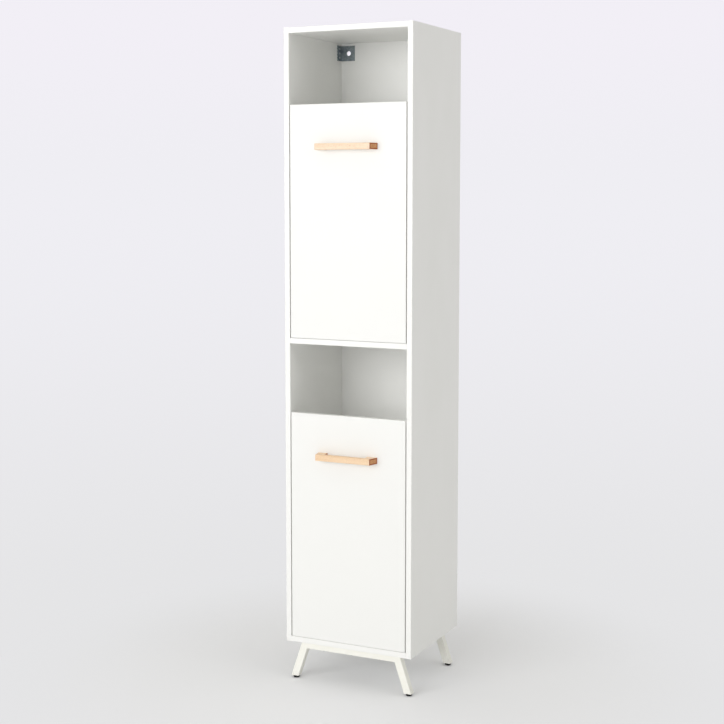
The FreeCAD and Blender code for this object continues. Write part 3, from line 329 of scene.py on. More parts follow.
@dataclass(frozen=True)
class Foil(Finish):
    """White foil on particle board, with an edging band along the front."""

    label: str
    band_front: float
    colour: Colour = (0.94, 0.94, 0.918)
    shade: Colour = (0.92, 0.922, 0.896)
    edging: Colour = (0.9, 0.9, 0.88)
    seam: Colour = (0.74, 0.735, 0.71)
    band: float = 1.0 * MM
    seam_half: float = 0.12 * MM
    roughness: float = 0.36

    def seam_mask(self, graph: Graph) -> Value:
        """The hairline where the edging meets the foil.

        Args:
            graph: The material's graph.

        Returns:
            1 on the hairline, 0 elsewhere.
        """
        y = graph.parts(graph.coordinates())[1]
        gap = abs(y - (self.band_front + self.band))
        return gap.rise(self.seam_half * 2, self.seam_half)

    def paint(self, graph: Graph) -> None:
        """Build the finish's nodes.

        Args:
            graph: The material's empty graph.
        """
        mottle = graph.noise(graph.stretched((7, 7, 3)), 3.0).rise(0.3, 0.7)
        chips = graph.noise(graph.stretched((260, 260, 260)), 2.0)
        grain = graph.noise(graph.stretched((2600, 2600, 2600)), 1.0)
        seam = self.seam_mask(graph)
        y = graph.parts(graph.coordinates())[1]
        edging = y.rise(self.band_front + self.band, self.band_front).rise(0.0, 0.2)
        foil = graph.blend(mottle, self.colour, self.shade)
        foil = graph.blend(edging, foil, self.edging)
        height = chips * 0.35 + grain * 0.2 - seam * 0.5
        graph.surface(
            Base_Color=graph.blend(seam * 0.6, foil, self.seam),
            Roughness=self.roughness + mottle * 0.05 + chips * 0.04,
            Specular_IOR_Level=0.45,
            Normal=graph.bump(height, 0.05 * MM),
        )


@dataclass(frozen=True)
class DoorFoil(Foil):
    """White foil on a door, with edging on all four edges."""

    colour: Colour = (0.868, 0.869, 0.85)
    shade: Colour = (0.85, 0.852, 0.829)
    edging: Colour = (0.868, 0.869, 0.85)
    low: tuple[float, float] = (0.0, 0.0)
    high: tuple[float, float] = (0.0, 0.0)

    def seam_mask(self, graph: Graph) -> Value:
        """The hairline round the door's faces, just inside its edges.

        Args:
            graph: The material's graph.

        Returns:
            1 on the hairline, 0 elsewhere.
        """
        x, _, z = graph.parts(graph.coordinates())
        inside = (x - self.low[0]).least(self.high[0] - x)
        inside = inside.least(z - self.low[1]).least(self.high[1] - z)
        return abs(inside - self.band).rise(self.seam_half * 2, self.seam_half)


@dataclass(frozen=True)
class PaintedBoard(Finish):
    """Thin fibre board, lacquered white in a roller line."""

    label: str = "back_board_lacquer"
    colour: Colour = (0.94, 0.94, 0.92)
    shade: Colour = (0.92, 0.922, 0.9)

    def paint(self, graph: Graph) -> None:
        """Build the finish's nodes.

        Args:
            graph: The material's empty graph.
        """
        roller = graph.noise(graph.stretched((900, 60, 14)), 2.0)
        mottle = graph.noise(graph.stretched((9, 9, 9)), 2.0).rise(0.3, 0.7)
        fibre = graph.noise(graph.stretched((1500, 1500, 1500)), 2.0)
        graph.surface(
            Base_Color=graph.blend(mottle * 0.6 + roller * 0.3, self.colour, self.shade),
            Roughness=0.46 + fibre * 0.1,
            Specular_IOR_Level=0.4,
            Normal=graph.bump(roller * 0.5 + fibre * 0.5, 0.06 * MM),
        )


@dataclass(frozen=True)
class Beech(Finish):
    """Clear lacquered beech, its grain along X, with darker end grain."""

    label: str
    light: Colour
    deep: Colour
    node: str
    fleck: Colour = linear(186, 134, 88)
    end: Colour = linear(212, 156, 104)
    end_ring: Colour = linear(168, 106, 60)
    rim: Colour = linear(146, 64, 16)
    rim_width: float = 4.6 * MM
    shift: float = 0.0

    def rim_mask(self, graph: Graph) -> Value:
        """A darker orange-brown band round the edge of each sawn end.

        Args:
            graph: The material's graph.

        Returns:
            1 along the handle's long edges, 0 inside them.
        """
        low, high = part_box(self.node)
        _, y, z = graph.parts(graph.coordinates())
        inside = (y - low.y).least(high.y - y).least(z - low.z).least(high.z - z)
        return inside.rise(self.rim_width, self.rim_width * 0.5)

    def paint(self, graph: Graph) -> None:
        """Build the finish's nodes.

        Args:
            graph: The material's empty graph.
        """
        start = (self.shift, self.shift * 2, self.shift * 3)
        bands = graph.noise(graph.stretched((5, 130, 130), start), 3.0, 0.55).rise(0.32, 0.68)
        fibres = graph.noise(graph.stretched((40, 1600, 1600), start), 2.0)
        flecks = graph.noise(graph.stretched((230, 1300, 1300), start), 1.0).rise(0.6, 0.7)
        rings = graph.noise(graph.stretched((60, 900, 260), start), 2.0).rise(0.35, 0.65)
        across = abs(graph.parts(graph.coordinates("Normal"))[0])
        end = across.rise(0.42, 0.6)
        height = fibres * 0.5 + bands * 0.2 - flecks * 0.4 + rings * end * 0.4
        face = graph.blend(bands * 0.75 + fibres * 0.25, self.light, self.deep)
        face = graph.blend(flecks * 0.55, face, self.fleck)
        cut = graph.blend(rings * 0.7, self.end, self.end_ring)
        cut = graph.blend(self.rim_mask(graph) * 0.9, cut, self.rim)
        graph.surface(
            Base_Color=graph.blend(end, face, cut),
            Roughness=0.38 + fibres * 0.12 + end * 0.18,
            Specular_IOR_Level=0.45,
            Normal=graph.bump(height, 0.08 * MM),
        )


@dataclass(frozen=True)
class RawWood(Finish):
    """Plain fluted dowel wood."""

    label: str = "raw_dowel_wood"
    light: Colour = linear(226, 196, 152)
    deep: Colour = linear(198, 160, 112)

    def paint(self, graph: Graph) -> None:
        """Build the finish's nodes.

        Args:
            graph: The material's empty graph.
        """
        fibres = graph.noise(graph.stretched((50, 1200, 1200)), 3.0)
        graph.surface(
            Base_Color=graph.blend(fibres.rise(0.3, 0.7), self.light, self.deep),
            Roughness=0.72 + fibres * 0.12,
            Normal=graph.bump(fibres, 0.1 * MM),
        )


@dataclass(frozen=True)
class PowderCoat(Finish):
    """Warm white powder coat with a fine orange peel."""

    label: str = "warm_white_powder_coat"
    colour: Colour = (0.935, 0.93, 0.868)
    shade: Colour = (0.908, 0.898, 0.82)
    scuff: Colour = linear(150, 145, 136)
    scuffed: tuple[float, float] = (8 * MM, 34 * MM)    # the scuffs fade between these heights

    def paint(self, graph: Graph) -> None:
        """Build the finish's nodes.

        Args:
            graph: The material's empty graph.
        """
        flow = graph.noise(graph.stretched((26, 26, 26)), 3.0).rise(0.3, 0.7)
        peel = graph.noise(graph.stretched((620, 620, 620)), 1.0)
        low, high = self.scuffed
        wear = graph.noise(graph.stretched((340, 340, 120)), 4.0).rise(0.48, 0.75)
        scuffs = graph.parts(graph.coordinates())[2].rise(high, low) * wear
        coat = graph.blend(flow * 0.6, self.colour, self.shade)
        graph.surface(
            Base_Color=graph.blend(scuffs * 0.35, coat, self.scuff),
            Roughness=0.33 + peel * 0.12 + scuffs * 0.2,
            Specular_IOR_Level=0.5,
            Normal=graph.bump(peel, 0.09 * MM, 0.8),
        )


@dataclass(frozen=True)
class Plastic(Finish):
    """Moulded plastic with a fine spark-eroded grain."""

    label: str
    colour: Colour
    shade: Colour
    roughness: float = 0.5

    def paint(self, graph: Graph) -> None:
        """Build the finish's nodes.

        Args:
            graph: The material's empty graph.
        """
        grain = graph.noise(graph.stretched((1900, 1900, 1900)), 2.0)
        flow = graph.noise(graph.stretched((90, 90, 160)), 2.0).rise(0.35, 0.7)
        graph.surface(
            Base_Color=graph.blend(flow * 0.5 + grain * 0.4, self.colour, self.shade),
            Roughness=self.roughness + grain * 0.12,
            Specular_IOR_Level=0.4,
            Normal=graph.bump(grain, 0.05 * MM),
        )


@dataclass(frozen=True)
class Plated(Finish):
    """Plated steel: crystals in the zinc, drawing lines and dull patches."""

    label: str
    colour: Colour
    shade: Colour
    roughness: float
    spangle: float

    def paint(self, graph: Graph) -> None:
        """Build the finish's nodes.

        Args:
            graph: The material's empty graph.
        """
        crystals = graph.cells(graph.stretched((330, 330, 330)))
        dull = graph.noise(graph.stretched((70, 70, 70)), 4.0).rise(0.38, 0.68)
        lines = graph.noise(graph.stretched((60, 60, 2600)), 2.0)
        mix = crystals * self.spangle + dull * (1 - self.spangle)
        graph.surface(
            Base_Color=graph.blend(mix, self.colour, self.shade),
            Metallic=1.0,
            Roughness=self.roughness + dull * 0.14 + crystals * 0.06,
            Normal=graph.bump(lines * 0.5 + crystals * 0.3, 0.03 * MM),
        )


FOIL_FRONT = Foil("foil_case", band_front=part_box("left_side")[0].y)
FOIL_SHELF = Foil("foil_shelf", band_front=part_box("upper_niche_shelf")[0].y)
BACK_LACQUER = PaintedBoard()
POWDER = PowderCoat()
DOWEL_WOOD = RawWood()
BLACK_PLASTIC = Plastic("black_moulded_plastic", (0.005, 0.005, 0.0055), (0.012, 0.012, 0.0125))
SOFT_PLASTIC = Plastic("soft_white_plastic", (0.82, 0.82, 0.8), (0.76, 0.76, 0.735), 0.42)
BRACKET_ZINC = Plated("blue_zinc", (0.3, 0.345, 0.365), (0.17, 0.2, 0.215), 0.36, 0.45)
SCREW_ZINC = Plated("bright_zinc", (0.62, 0.64, 0.65), (0.45, 0.465, 0.475), 0.3, 0.5)
CAM_ZINC = Plated("cast_zinc", (0.5, 0.51, 0.515), (0.34, 0.345, 0.35), 0.42, 0.3)
HINGE_NICKEL = Plated("hinge_nickel", (0.74, 0.72, 0.69), (0.62, 0.6, 0.575), 0.2, 0.15)
PIN_STEEL = Plated("pin_steel", (0.55, 0.55, 0.55), (0.42, 0.42, 0.425), 0.26, 0.2)

HANDLE_WOODS = {
    "upper": Beech("beech_upper", linear(247, 224, 199), linear(236, 207, 176), "upper_handle"),
    "lower": Beech(
        "beech_lower", linear(243, 214, 181), linear(231, 196, 157), "lower_handle", shift=7.3
    ),
}


def dress(finish: Finish, *nodes: str) -> None:
    """Give nodes of the frame a finish.

    Args:
        finish: The finish.
        nodes: The nodes' names.
    """
    for name in nodes:
        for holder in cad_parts[name].material_slots:
            holder.material = finish.material()
        log.info("%s: %s", name, finish.label)


def on_both(*endings: str) -> list[str]:
    """The lower and the upper node of each kind."""
    return [f"{level}_{ending}" for ending in endings for level in LEVELS]


# ---------------------------------------------------------------- modelling

Box = tuple[Vector, Vector]
Way = Callable[[Vector], Vector]
Maker = Callable[[str, float], bpy.types.Object]

LEFT, RIGHT = Vector((-1, 0, 0)), Vector((1, 0, 0))
BACKWARD, DOWN = Vector((0, 1, 0)), Vector((0, 0, -1))

GRID = 1e5                      # steps in a metre, by which corners are compared
MERGE = 1e-6                    # corners nearer than this, in metres, become one
SMOOTH = math.radians(32)       # edges sharper than this stay sharp
TURN = math.radians(50)         # from one copy's recess to the next one's
TAPER = 0.45                    # width at the cross cutter's end, for 1 at the head's top
FLUSH = 0.3 * MM                # faces nearer than this are level


def inward(centre: Vector) -> Vector:
    """From the nearer side of the case towards its middle."""
    return LEFT if centre.x > 0 else RIGHT


def islands(node: str) -> list[Box]:
    """The boxes of a node's separate solids.

    Args:
        node: The node's name.

    Returns:
        Each solid's lowest and highest corner, in metres.
    """
    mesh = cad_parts[node].data
    keys = [tuple(round(part * GRID) for part in vertex.co) for vertex in mesh.vertices]
    home = {key: key for key in keys}

    def root(key: tuple[int, ...]) -> tuple[int, ...]:
        """The corner that stands for a corner's solid.

        Args:
            key: Any corner.

        Returns:
            The one corner that all of its solid's corners lead to.
        """
        while home[key] != key:
            home[key] = home[home[key]]
            key = home[key]
        return key

    for face in mesh.polygons:
        first, *rest = (keys[corner] for corner in face.vertices)
        for other in rest:
            home[root(other)] = root(first)
    solids: dict[tuple[int, ...], list[tuple[int, ...]]] = {}
    for key in home:
        solids.setdefault(root(key), []).append(key)
    boxes = []
    for corners in solids.values():
        sides = list(zip(*corners))
        boxes.append((Vector(map(min, sides)) / GRID, Vector(map(max, sides)) / GRID))
    return sorted(boxes, key=lambda box: tuple(box[0]))


def clear_selection() -> None:
    """Select nothing, in object mode."""
    if bpy.context.object and bpy.context.object.mode != "OBJECT":
        bpy.ops.object.mode_set(mode="OBJECT")
    bpy.ops.object.select_all(action="DESELECT")


def close_shape(made: bpy.types.Object) -> None:
    """Merge doubles, turn the faces outwards and smooth all but the sharp edges.

    Args:
        made: The piece, in edit or object mode.
    """
    clear_selection()
    made.select_set(True)
    bpy.context.view_layer.objects.active = made
    bpy.ops.object.mode_set(mode="EDIT")
    bpy.ops.mesh.select_all(action="SELECT")
    bpy.ops.mesh.remove_doubles(threshold=MERGE)
    bpy.ops.mesh.normals_make_consistent(inside=False)
    bpy.ops.object.mode_set(mode="OBJECT")
    bpy.ops.object.shade_smooth_by_angle(angle=SMOOTH)


def turned(name: str, rings: Sequence[tuple[float, float]], sides: int = 28) -> bpy.types.Object:
    """A turned piece about Z, drawn up ring by ring from its lowest end.

    Args:
        name: The piece's name.
        rings: Each ring's radius and height, from the bottom up.
        sides: How many corners a ring has.

    Returns:
        The closed piece.
    """
    clear_selection()
    (radius, height), *rest = rings
    bpy.ops.mesh.primitive_circle_add(
        vertices=sides, radius=radius, fill_type="NGON", location=(0, 0, height)
    )
    made = bpy.context.object
    made.name = name
    bpy.ops.object.transform_apply(location=True, rotation=False, scale=False)
    bpy.ops.object.mode_set(mode="EDIT")
    bpy.ops.mesh.select_all(action="SELECT")
    for wide, high in rest:
        bpy.ops.mesh.extrude_region_move(TRANSFORM_OT_translate={"value": (0, 0, high - height)})
        share = wide / radius
        bpy.ops.transform.resize(value=(share, share, 1), center_override=(0, 0, high))
        radius, height = wide, high
    close_shape(made)
    return made


def blade(length: float, thick: float, deep: float, turn: float) -> bpy.types.Object:
    """A cutter for one arm of a cross recess, narrower towards its bottom.

    Args:
        length: Its length at the head's top.
        thick: Its thickness.
        deep: How far it goes down from the origin.
        turn: Its turn about Z.

    Returns:
        The cutter.
    """
    clear_selection()
    bpy.ops.mesh.primitive_cube_add(size=1)
    made = bpy.context.object
    made.scale = (length, thick, deep * 2)
    made.rotation_euler = (0, 0, turn)
    bpy.ops.object.transform_apply(location=False, rotation=True, scale=True)
    bpy.ops.object.mode_set(mode="EDIT")
    bpy.ops.mesh.select_all(action="DESELECT")
    bpy.ops.object.mode_set(mode="OBJECT")
    for vertex in made.data.vertices:
        vertex.select = vertex.co.z < 0
    bpy.ops.object.mode_set(mode="EDIT")
    bpy.ops.transform.resize(value=(TAPER, TAPER, 1), center_override=(0, 0, -deep))
    bpy.ops.object.mode_set(mode="OBJECT")
    return made


def hex_key(across: float, deep: float) -> bpy.types.Object:
    """A cutter for a six-sided socket.

    Args:
        across: Its width across flats.
        deep: How far it goes down from the origin.

    Returns:
        The cutter.
    """
    clear_selection()
    bpy.ops.mesh.primitive_cylinder_add(vertices=6, radius=across / math.sqrt(3), depth=deep * 2)
    return bpy.context.object


def cut(made: bpy.types.Object, cutter: bpy.types.Object) -> None:
    """Cut one piece with another, which is used up.

    Args:
        made: The piece that is cut.
        cutter: What it is cut with.
    """
    clear_selection()
    made.select_set(True)
    bpy.context.view_layer.objects.active = made
    tool = made.modifiers.new("cut", "BOOLEAN")
    tool.operation = "DIFFERENCE"
    tool.solver = "EXACT"
    tool.object = cutter
    bpy.ops.object.modifier_apply(modifier=tool.name)
    bpy.data.objects.remove(cutter)


def copies(pattern: bpy.types.Object, name: str, places: Sequence[Matrix]) -> bpy.types.Object:
    """Copies of a pattern at several places, as one piece at the origin.

    Args:
        pattern: The pattern, which is used up.
        name: The new piece's name.
        places: Where each copy goes.

    Returns:
        The new piece.
    """
    clear_selection()
    for number, place in enumerate(places):
        twin = bpy.data.objects.new(f"{name}_{number}", pattern.data.copy())
        bpy.context.scene.collection.objects.link(twin)
        twin.data.transform(place)
        twin.select_set(True)
        bpy.context.view_layer.objects.active = twin
    if len(places) > 1:
        bpy.ops.object.join()
    made = bpy.context.view_layer.objects.active
    made.name = name
    bpy.data.objects.remove(pattern)
    return made


def settle(made: bpy.types.Object, body: str, finish: Finish, slot: str, *nodes: str) -> None:
    """Give a piece its finish and its body, and let it stand for nodes.

    Args:
        made: The piece.
        body: The body it rides on.
        finish: Its finish.
        slot: Not used.
        nodes: The nodes that it replaces.
    """
    made.data.materials.clear()
    made.data.materials.append(finish.material())
    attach(made, body)
    if nodes:
        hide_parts(*nodes)
    log.info("%s on %s", made.name, body)


def stand_for(node: str, body: str, finish: Finish, slot: str, out: Way, make: Maker) -> None:
    """Model one of a node's like solids and put a copy in the place of each.

    Args:
        node: The node.
        body: The body it belongs to.
        finish: The new piece's finish.
        slot: Not used; passed on to settle.
        out: The way out of its hole, from a solid's centre.
        make: Makes the pattern from a name and a length, its outer end at the origin, its axis up.
    """
    places = []
    for number, (low, high) in enumerate(islands(node)):
        centre = (low + high) / 2
        way = out(centre)
        length = abs((high - low).dot(way))
        turn = Matrix.Rotation(TURN * number, 4, "Z")
        stand = way.to_track_quat("Z", "Y").to_matrix().to_4x4()
        places.append(Matrix.Translation(centre + way * length / 2) @ stand @ turn)
    piece = copies(make(f"{node}_pattern", length), f"{node}_modelled", places)
    settle(piece, body, finish, slot, node)


class Drive(Enum):
    """What a screw is turned with."""

    CROSS = "cross"
    HEX = "hex"


@dataclass(frozen=True)
class Screw:
    """A pan-head screw: its shank's and head's radius, and its head's height."""

    shank: float
    head: float
    cap: float
    drive: Drive = Drive.CROSS

    def make(self, name: str, length: float) -> bpy.types.Object:
        """Turn the screw and cut its recess.

        Args:
            name: Its name.
            length: Its whole length.

        Returns:
            The screw, with its head's top at the origin.
        """
        head, cap = self.head, self.cap
        made = turned(name, [
            (self.shank * 0.3, -length), (self.shank, -length + self.shank * 1.4),
            (self.shank, -cap), (head * 0.98, -cap), (head, -cap * 0.9), (head, -cap * 0.6),
            (head * 0.94, -cap * 0.28), (head * 0.8, -cap * 0.08), (head * 0.6, 0),
        ])
        deep = cap * 0.75
        if self.drive is Drive.HEX:
            cut(made, hex_key(head * 0.85, deep))
        else:
            for turn in (0.0, math.pi / 2):
                cut(made, blade(head * 1.3, head * 0.26, deep, turn))
        close_shape(made)
        return made


# ---------------------------------------------------------------- sub-assemblies


@dataclass
class Case:
    """The boards, the back and what joins them."""

    front_boards: tuple[str, ...] = (
        "left_side", "right_side", "top_panel", "bottom_panel", "middle_shelf",
    )
    nail_head: float = 2.6 * MM     # radius
    nail_shank: float = 0.8 * MM    # radius
    nail_cap: float = 0.6 * MM      # the head's height
    pin_radius: float = 2.5 * MM
    pin_reach: float = 7.0 * MM     # out of the side
    groove: float = 0.4 * MM        # half the width of a pin's groove
    stop_radius: float = 4.5 * MM
    stop_reach: float = 9.0 * MM    # out of the side
    cam_cross: float = 7.4 * MM     # the length of the recess's arms
    cam_recess: float = 2.4 * MM    # its depth

    def build(self) -> None:
        """Dress the boards and model the small pieces."""
        dress(FOIL_FRONT, *self.front_boards)
        dress(FOIL_SHELF, *on_both("niche_shelf", "loose_shelf"))
        dress(BACK_LACQUER, "back_panel")
        dress(SCREW_ZINC, "cam_bolts")
        dress(DOWEL_WOOD, "dowels")
        stand_for("back_panel_nails", "case", SCREW_ZINC, "zinc", lambda _: BACKWARD, self.nail)
        for level in LEVELS:
            stand_for(f"{level}_shelf_pins", "case", SCREW_ZINC, "zinc", inward, self.pin)
            stand_for(
                f"{level}_door_stops", "case", SOFT_PLASTIC, "clear_plastic", inward, self.stop
            )
        self.cut_cams()

    def nail(self, name: str, length: float) -> bpy.types.Object:
        """A nail with a low domed head.

        Args:
            name: Its name.
            length: Its whole length.

        Returns:
            The nail, with its head's top at the origin.
        """
        head, shank, cap = self.nail_head, self.nail_shank, self.nail_cap
        return turned(name, [
            (shank * 0.1, -length), (shank, -length + 3 * shank), (shank, -cap),
            (head, -cap), (head * 0.97, -0.35 * MM), (head * 0.8, -0.12 * MM), (head * 0.4, 0),
        ], sides=16)

    def pin(self, name: str, length: float) -> bpy.types.Object:
        """A shelf pin with rounded ends and a fine groove where it leaves the board.

        Args:
            name: Its name.
            length: Its whole length.

        Returns:
            The pin, with its inner end at the origin.
        """
        radius, board, half = self.pin_radius, -self.pin_reach, self.groove
        return turned(name, [
            (radius * 0.7, -length), (radius, -length + 0.8 * MM), (radius, board - half),
            (radius * 0.9, board - half / 2), (radius * 0.9, board + half / 2),
            (radius, board + half), (radius, -0.9 * MM), (radius * 0.85, -0.3 * MM),
            (radius * 0.5, 0),
        ], sides=20)

    def stop(self, name: str, length: float) -> bpy.types.Object:
        """A soft stop with a pin, a grooved root and a rounded nose.

        Args:
            name: Its name.
            length: Its whole length.

        Returns:
            The stop, with its nose at the origin.
        """
        wide, reach, pin = self.stop_radius, self.stop_reach, self.pin_radius
        return turned(name, [
            (pin * 0.7, -length), (pin, -length + 0.8 * MM), (pin, -reach), (wide, -reach),
            (wide, -reach + 1.4 * MM), (wide * 0.88, -reach + 1.9 * MM),
            (wide * 0.88, -reach + 2.4 * MM), (wide, -reach + 2.9 * MM), (wide, -1.6 * MM),
            (wide * 0.93, -0.7 * MM), (wide * 0.75, -0.15 * MM), (wide * 0.5, 0),
        ])

    def cut_cams(self) -> None:
        """Cut the cross recess into the outer face of every cam lock."""
        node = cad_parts["cam_locks"]
        made = bpy.data.objects.new("cam_locks_modelled", node.data.copy())
        bpy.context.scene.collection.objects.link(made)
        close_shape(made)
        for low, high in islands("cam_locks"):
            centre = (low + high) / 2
            upward = self.opens_up(high)
            face = Vector((centre.x, centre.y, high.z if upward else low.z))
            stand = Matrix.Rotation(0.0 if upward else math.pi, 4, "X")
            for turn in (math.pi / 4, -math.pi / 4):
                cutter = blade(self.cam_cross, self.cam_cross * 0.24, self.cam_recess, turn)
                cutter.data.transform(Matrix.Translation(face) @ stand)
                cut(made, cutter)
        close_shape(made)
        settle(made, "case", CAM_ZINC, "zinc", "cam_locks")

    @staticmethod
    def opens_up(high: Vector) -> bool:
        """Whether a cam's turned face is its upper one, flush with its board's top."""
        tops = [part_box(board)[1].z for board in ("top_panel", "bottom_panel", "middle_shelf")]
        return any(abs(high.z - top) < FLUSH for top in tops)


@dataclass
class Doors:
    """Both doors with their handles, which are screwed on from inside."""

    screw: Screw = Screw(2.0 * MM, 4.0 * MM, 2.4 * MM)

    def build(self) -> None:
        """Dress the doors and handles and model their screws."""
        for level in LEVELS:
            low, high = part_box(f"{level}_door")
            foil = DoorFoil(
                f"foil_{level}_door", low.y, low=(low.x, low.z), high=(high.x, high.z)
            )
            dress(foil, f"{level}_door")
            dress(HANDLE_WOODS[level], f"{level}_handle")
            node, body = f"{level}_handle_screws", f"{level}_door"
            stand_for(node, body, SCREW_ZINC, "zinc", lambda _: BACKWARD, self.screw.make)


@dataclass
class Hinges:
    """The concealed hinges."""

    cup_screw: Screw = Screw(1.6 * MM, 3.0 * MM, 1.0 * MM)
    plate_screw: Screw = Screw(2.5 * MM, 3.6 * MM, 1.4 * MM)
    arm_screw: Screw = Screw(2.0 * MM, 3.6 * MM, 1.6 * MM)

    def build(self) -> None:
        """Dress the hinges and model their screws."""
        dress(HINGE_NICKEL, *on_both("hinge_cups", "hinge_arms", "hinge_plates"))
        dress(HINGE_NICKEL, *on_both("outer_links", "inner_links"))
        dress(PIN_STEEL, *on_both("cup_pins", "arm_pins"))
        for level in LEVELS:
            kinds = (
                ("cup_screws", f"{level}_door", BACKWARD, self.cup_screw),
                ("plate_screws", "case", RIGHT, self.plate_screw),
                ("arm_screws", "case", RIGHT, self.arm_screw),
            )
            for kind, body, way, screw in kinds:
                node = f"{level}_{kind}"
                stand_for(node, body, SCREW_ZINC, "zinc", lambda _: way, screw.make)


@dataclass
class Base:
    """The two leg frames with their feet."""

    screw: Screw = Screw(2.2 * MM, 4.0 * MM, 2.6 * MM, Drive.HEX)
    glide: float = 9.0 * MM         # radius
    glide_tall: float = 7.5 * MM    # below the leg
    stem: float = 3.0 * MM          # radius
    tube: float = 22.0 * MM         # the square tube's width
    inset: float = 43.3 * MM        # from the case's side to a leg's outer face, at the leg's top
    splay: float = 0.34             # how far a leg goes out for each unit down
    bead: float = 2.0 * MM          # a weld bead's radius
    bead_long: float = 17.0 * MM
    bead_steps: int = 14            # two for each ripple
    bead_tip: float = 0.35          # its radius at the ends, for 1 on a ripple
    bead_waist: float = 0.88        # and between two ripples

    def build(self) -> None:
        """Dress the base and model its small pieces."""
        dress(POWDER, "front_leg_frame", "rear_leg_frame")
        dress(BLACK_PLASTIC, "leg_plugs")
        dress(SCREW_ZINC, "leg_frame_washers")
        stand_for("leg_frame_screws", "case", SCREW_ZINC, "zinc", lambda _: DOWN, self.screw.make)
        stand_for("leg_glides", "case", BLACK_PLASTIC, "black_plastic", lambda _: DOWN, self.foot)
        self.lay_beads()

    def foot(self, name: str, length: float) -> bpy.types.Object:
        """A moulded glide with its stem.

        Args:
            name: Its name.
            length: Its whole length.

        Returns:
            The glide, upside down, with its sole at the origin.
        """
        wide, tall, stem = self.glide, self.glide_tall, self.stem
        return turned(name, [
            (stem * 0.8, -length), (stem, -length + 0.6 * MM), (stem, -tall), (wide * 0.96, -tall),
            (wide, -tall + 0.4 * MM), (wide, -tall + 1.6 * MM), (wide * 0.93, -tall + 2.0 * MM),
            (wide * 0.93, -tall + 2.5 * MM), (wide, -tall + 2.9 * MM), (wide, -1.9 * MM),
            (wide * 0.96, -0.9 * MM), (wide * 0.87, -0.25 * MM), (wide * 0.74, 0),
        ], sides=36)

    def lay_beads(self) -> None:
        """Weld beads in the corners between each rail and its legs."""
        half, tip = self.bead_long / 2, self.bead * self.bead_tip
        rings = [(tip, -half)]
        for step in range(1, self.bead_steps):
            swell = 1.0 if step % 2 else self.bead_waist
            rings.append((self.bead * swell, -half + self.bead_long * step / self.bead_steps))
        rings.append((tip, half))
        case_foot, case_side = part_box("left_side")[0].z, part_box("right_side")[1].x
        rail = case_foot - self.tube
        leg_wide = self.tube * math.hypot(1, self.splay)
        corner = case_side - self.inset + self.splay * self.tube - leg_wide
        lie = Matrix.Rotation(-math.pi / 2, 4, "X")
        for end in ("front", "rear"):
            near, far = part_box(f"{end}_leg_frame")
            middle = (near.y + far.y) / 2
            places = [Matrix.Translation((way * corner, middle, rail)) @ lie for way in (-1, 1)]
            pattern = turned(f"{end}_bead_pattern", rings, sides=16)
            beads = copies(pattern, f"{end}_weld_beads", places)
            settle(beads, "case", POWDER, "white_steel")


@dataclass
class WallFixing:
    """The two wall brackets and their screws."""

    screw: Screw = Screw(1.6 * MM, 3.0 * MM, 1.2 * MM)

    def build(self) -> None:
        """Dress the brackets and model their screws."""
        dress(BRACKET_ZINC, "left_wall_bracket", "right_wall_bracket")
        stand_for("wall_bracket_screws", "case", SCREW_ZINC, "zinc", inward, self.screw.make)


# ---------------------------------------------------------------- floor, light and camera


@dataclass(frozen=True)
class Lamp:
    """One wide soft lamp."""

    name: str
    place: tuple[float, float, float]
    aim: tuple[float, float, float]
    size: tuple[float, float]
    watts: float

    def build(self) -> None:
        """Add the lamp, turned towards its aim."""
        light = bpy.data.lights.new(self.name, "AREA")
        light.shape = "RECTANGLE"
        light.size, light.size_y = self.size
        light.energy = self.watts
        holder = bpy.data.objects.new(self.name, light)
        bpy.context.scene.collection.objects.link(holder)
        holder.location = self.place
        turn_towards(holder, Vector(self.aim) - Vector(self.place))


def turn_towards(holder: bpy.types.Object, way: Vector) -> None:
    """Turn a lamp or a camera to look along a direction, upright."""
    holder.rotation_mode = "QUATERNION"
    holder.rotation_quaternion = way.to_track_quat("-Z", "Y")


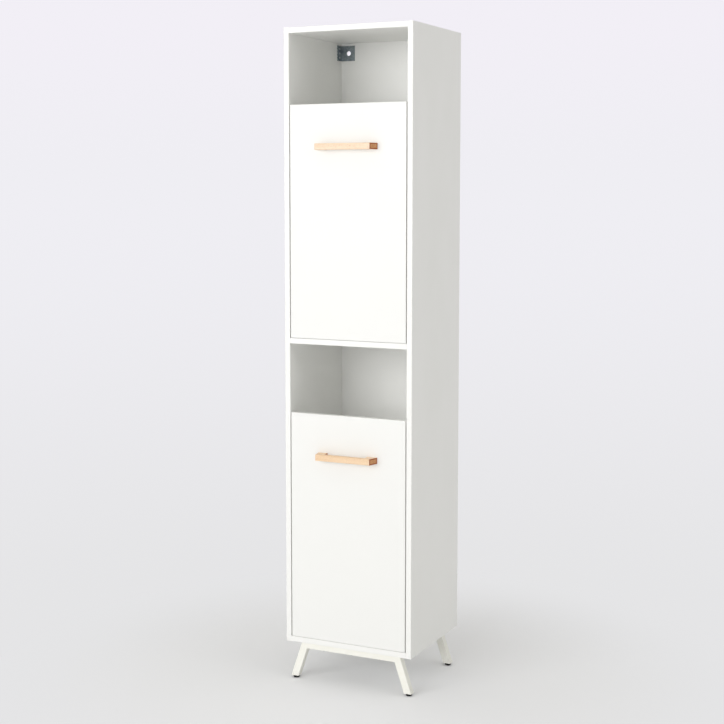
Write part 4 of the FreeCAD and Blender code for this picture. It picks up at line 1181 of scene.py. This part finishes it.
@dataclass
class Studio:
    """A pale floor, soft light and the camera."""

    floor_size: float = 160.0
    floor_colour: Colour = (0.9, 0.905, 0.925)
    near: float = 0.3               # where the floor starts to fade, from the middle outwards
    far: float = 1.15               # and where the backdrop alone is seen
    camera_back: float = 4.0        # about how far the camera stands from the middle
    horizon: Colour = linear(239, 238, 243)
    nearest: Colour = linear(228, 228, 229)
    zenith: Colour = linear(242, 239, 246)
    zenith_from: float = 0.125      # the rise of a sight line where the backdrop's gradient ends
    sky_low: Colour = (0.06, 0.058, 0.05)
    sky_high: Colour = (0.82, 0.81, 0.775)
    sky_span: tuple[float, float] = (-0.1, 0.9)         # and the rises between which the sky brightens
    lamps: tuple[Lamp, ...] = (
        Lamp("key", (-1.45, -5.95, 2.05), (0.0, 0.0, 1.3), (5.0, 2.6), 195.0),
        Lamp("fill", (4.6, -1.2, 2.6), (0.0, 0.0, 1.7), (2.6, 2.6), 24.0),
    )
    camera_place: tuple[float, float, float] = (1.7641, -3.7351, 1.4382)
    yaw: float = 0.4505             # to the left of +Y, in radians
    pitch: float = 0.0981           # downwards, in radians
    image: float = 724.0            # the picture's width and height, in pixels
    focal: float = 1417.32          # in pixels
    middle: tuple[float, float] = (358.0, 330.0)        # where the lens's axis meets the picture
    film: float = 36.0              # the sensor's width, in millimetres
    clip: tuple[float, float] = (0.1, 400.0)

    def build(self) -> None:
        """Make the floor, the world, the lamps and the camera."""
        self.make_floor()
        self.make_world()
        for lamp in self.lamps:
            lamp.build()
        self.make_camera()

    @staticmethod
    def seen(graph: Graph) -> Value:
        """Tell the rays that show the backdrop from those that light the cabinet.

        Args:
            graph: The graph.

        Returns:
            1 for camera, glossy and transmission rays, 0 for the others.
        """
        rays = graph.node("ShaderNodeLightPath", {}, {})
        names = ("Is Camera Ray", "Is Glossy Ray", "Is Transmission Ray")
        camera, glossy, through = (Value(graph, rays.outputs[name]) for name in names)
        return camera.most(glossy).most(through)

    def make_floor(self) -> None:
        """A wide floor that keeps the shadow near the cabinet and fades into the backdrop."""
        clear_selection()
        bpy.ops.mesh.primitive_plane_add(size=self.floor_size)
        floor = bpy.context.object
        floor.name = "floor"
        made = bpy.data.materials.new("studio_floor")
        made.use_nodes = True
        graph = Graph(made.node_tree)
        x, y, _ = graph.parts(graph.coordinates())
        reach = (x * x + y * y) ** 0.5
        depth = (1 / (reach + self.camera_back)).rise(0.0, 1 / (self.near + self.camera_back))
        tone = graph.blend(depth, self.horizon, self.nearest)
        paper = graph.node("ShaderNodeBsdfDiffuse", {}, {"Color": (*self.floor_colour, 1.0)})
        glow = graph.node("ShaderNodeEmission", {}, {"Color": tone, "Strength": 1.0})
        share = reach.rise(self.near, self.far) * self.seen(graph)
        graph.end(graph.mix(share, paper, glow))
        floor.data.materials.append(made)

    def make_world(self) -> None:
        """Even light from all round, and a pale gradient where it is seen."""
        world = bpy.data.worlds.new("studio")
        bpy.context.scene.world = world
        world.use_nodes = True
        graph = Graph(world.node_tree)
        up = graph.parts(graph.coordinates("Generated"))[2]
        tone = graph.blend(up.rise(0.0, self.zenith_from), self.horizon, self.zenith)
        sky = graph.blend(up.rise(*self.sky_span), self.sky_low, self.sky_high)
        soft = graph.node("ShaderNodeBackground", {}, {"Color": sky, "Strength": 1.0})
        shown = graph.node("ShaderNodeBackground", {}, {"Color": tone, "Strength": 1.0})
        graph.end(graph.mix(self.seen(graph), soft, shown), "ShaderNodeOutputWorld")

    def make_camera(self) -> None:
        """The photograph's viewpoint, with less lens shift, so that more views hold the top."""
        lens = bpy.data.cameras.new("camera")
        lens.sensor_width = self.film
        lens.lens = self.focal * self.film / self.image
        lens.shift_x = (self.image / 2 - self.middle[0]) / self.image
        lens.shift_y = -(self.image / 2 - self.middle[1]) / self.image
        lens.clip_start, lens.clip_end = self.clip
        holder = bpy.data.objects.new("camera", lens)
        bpy.context.scene.collection.objects.link(holder)
        holder.location = self.camera_place
        flat = math.cos(self.pitch)
        way = Vector((-math.sin(self.yaw) * flat, math.cos(self.yaw) * flat, -math.sin(self.pitch)))
        turn_towards(holder, way)
        bpy.context.scene.camera = holder


def main() -> None:
    """Dress and build every piece, then the studio."""
    logging.basicConfig(level=logging.INFO, format="%(name)s: %(message)s")
    bpy.context.scene.view_settings.view_transform = "Standard"
    for assembly in (Case(), Doors(), Hinges(), Base(), WallFixing(), Studio()):
        assembly.build()
        log.info("%s done", type(assembly).__name__)


if __name__ == "__main__":
    main()
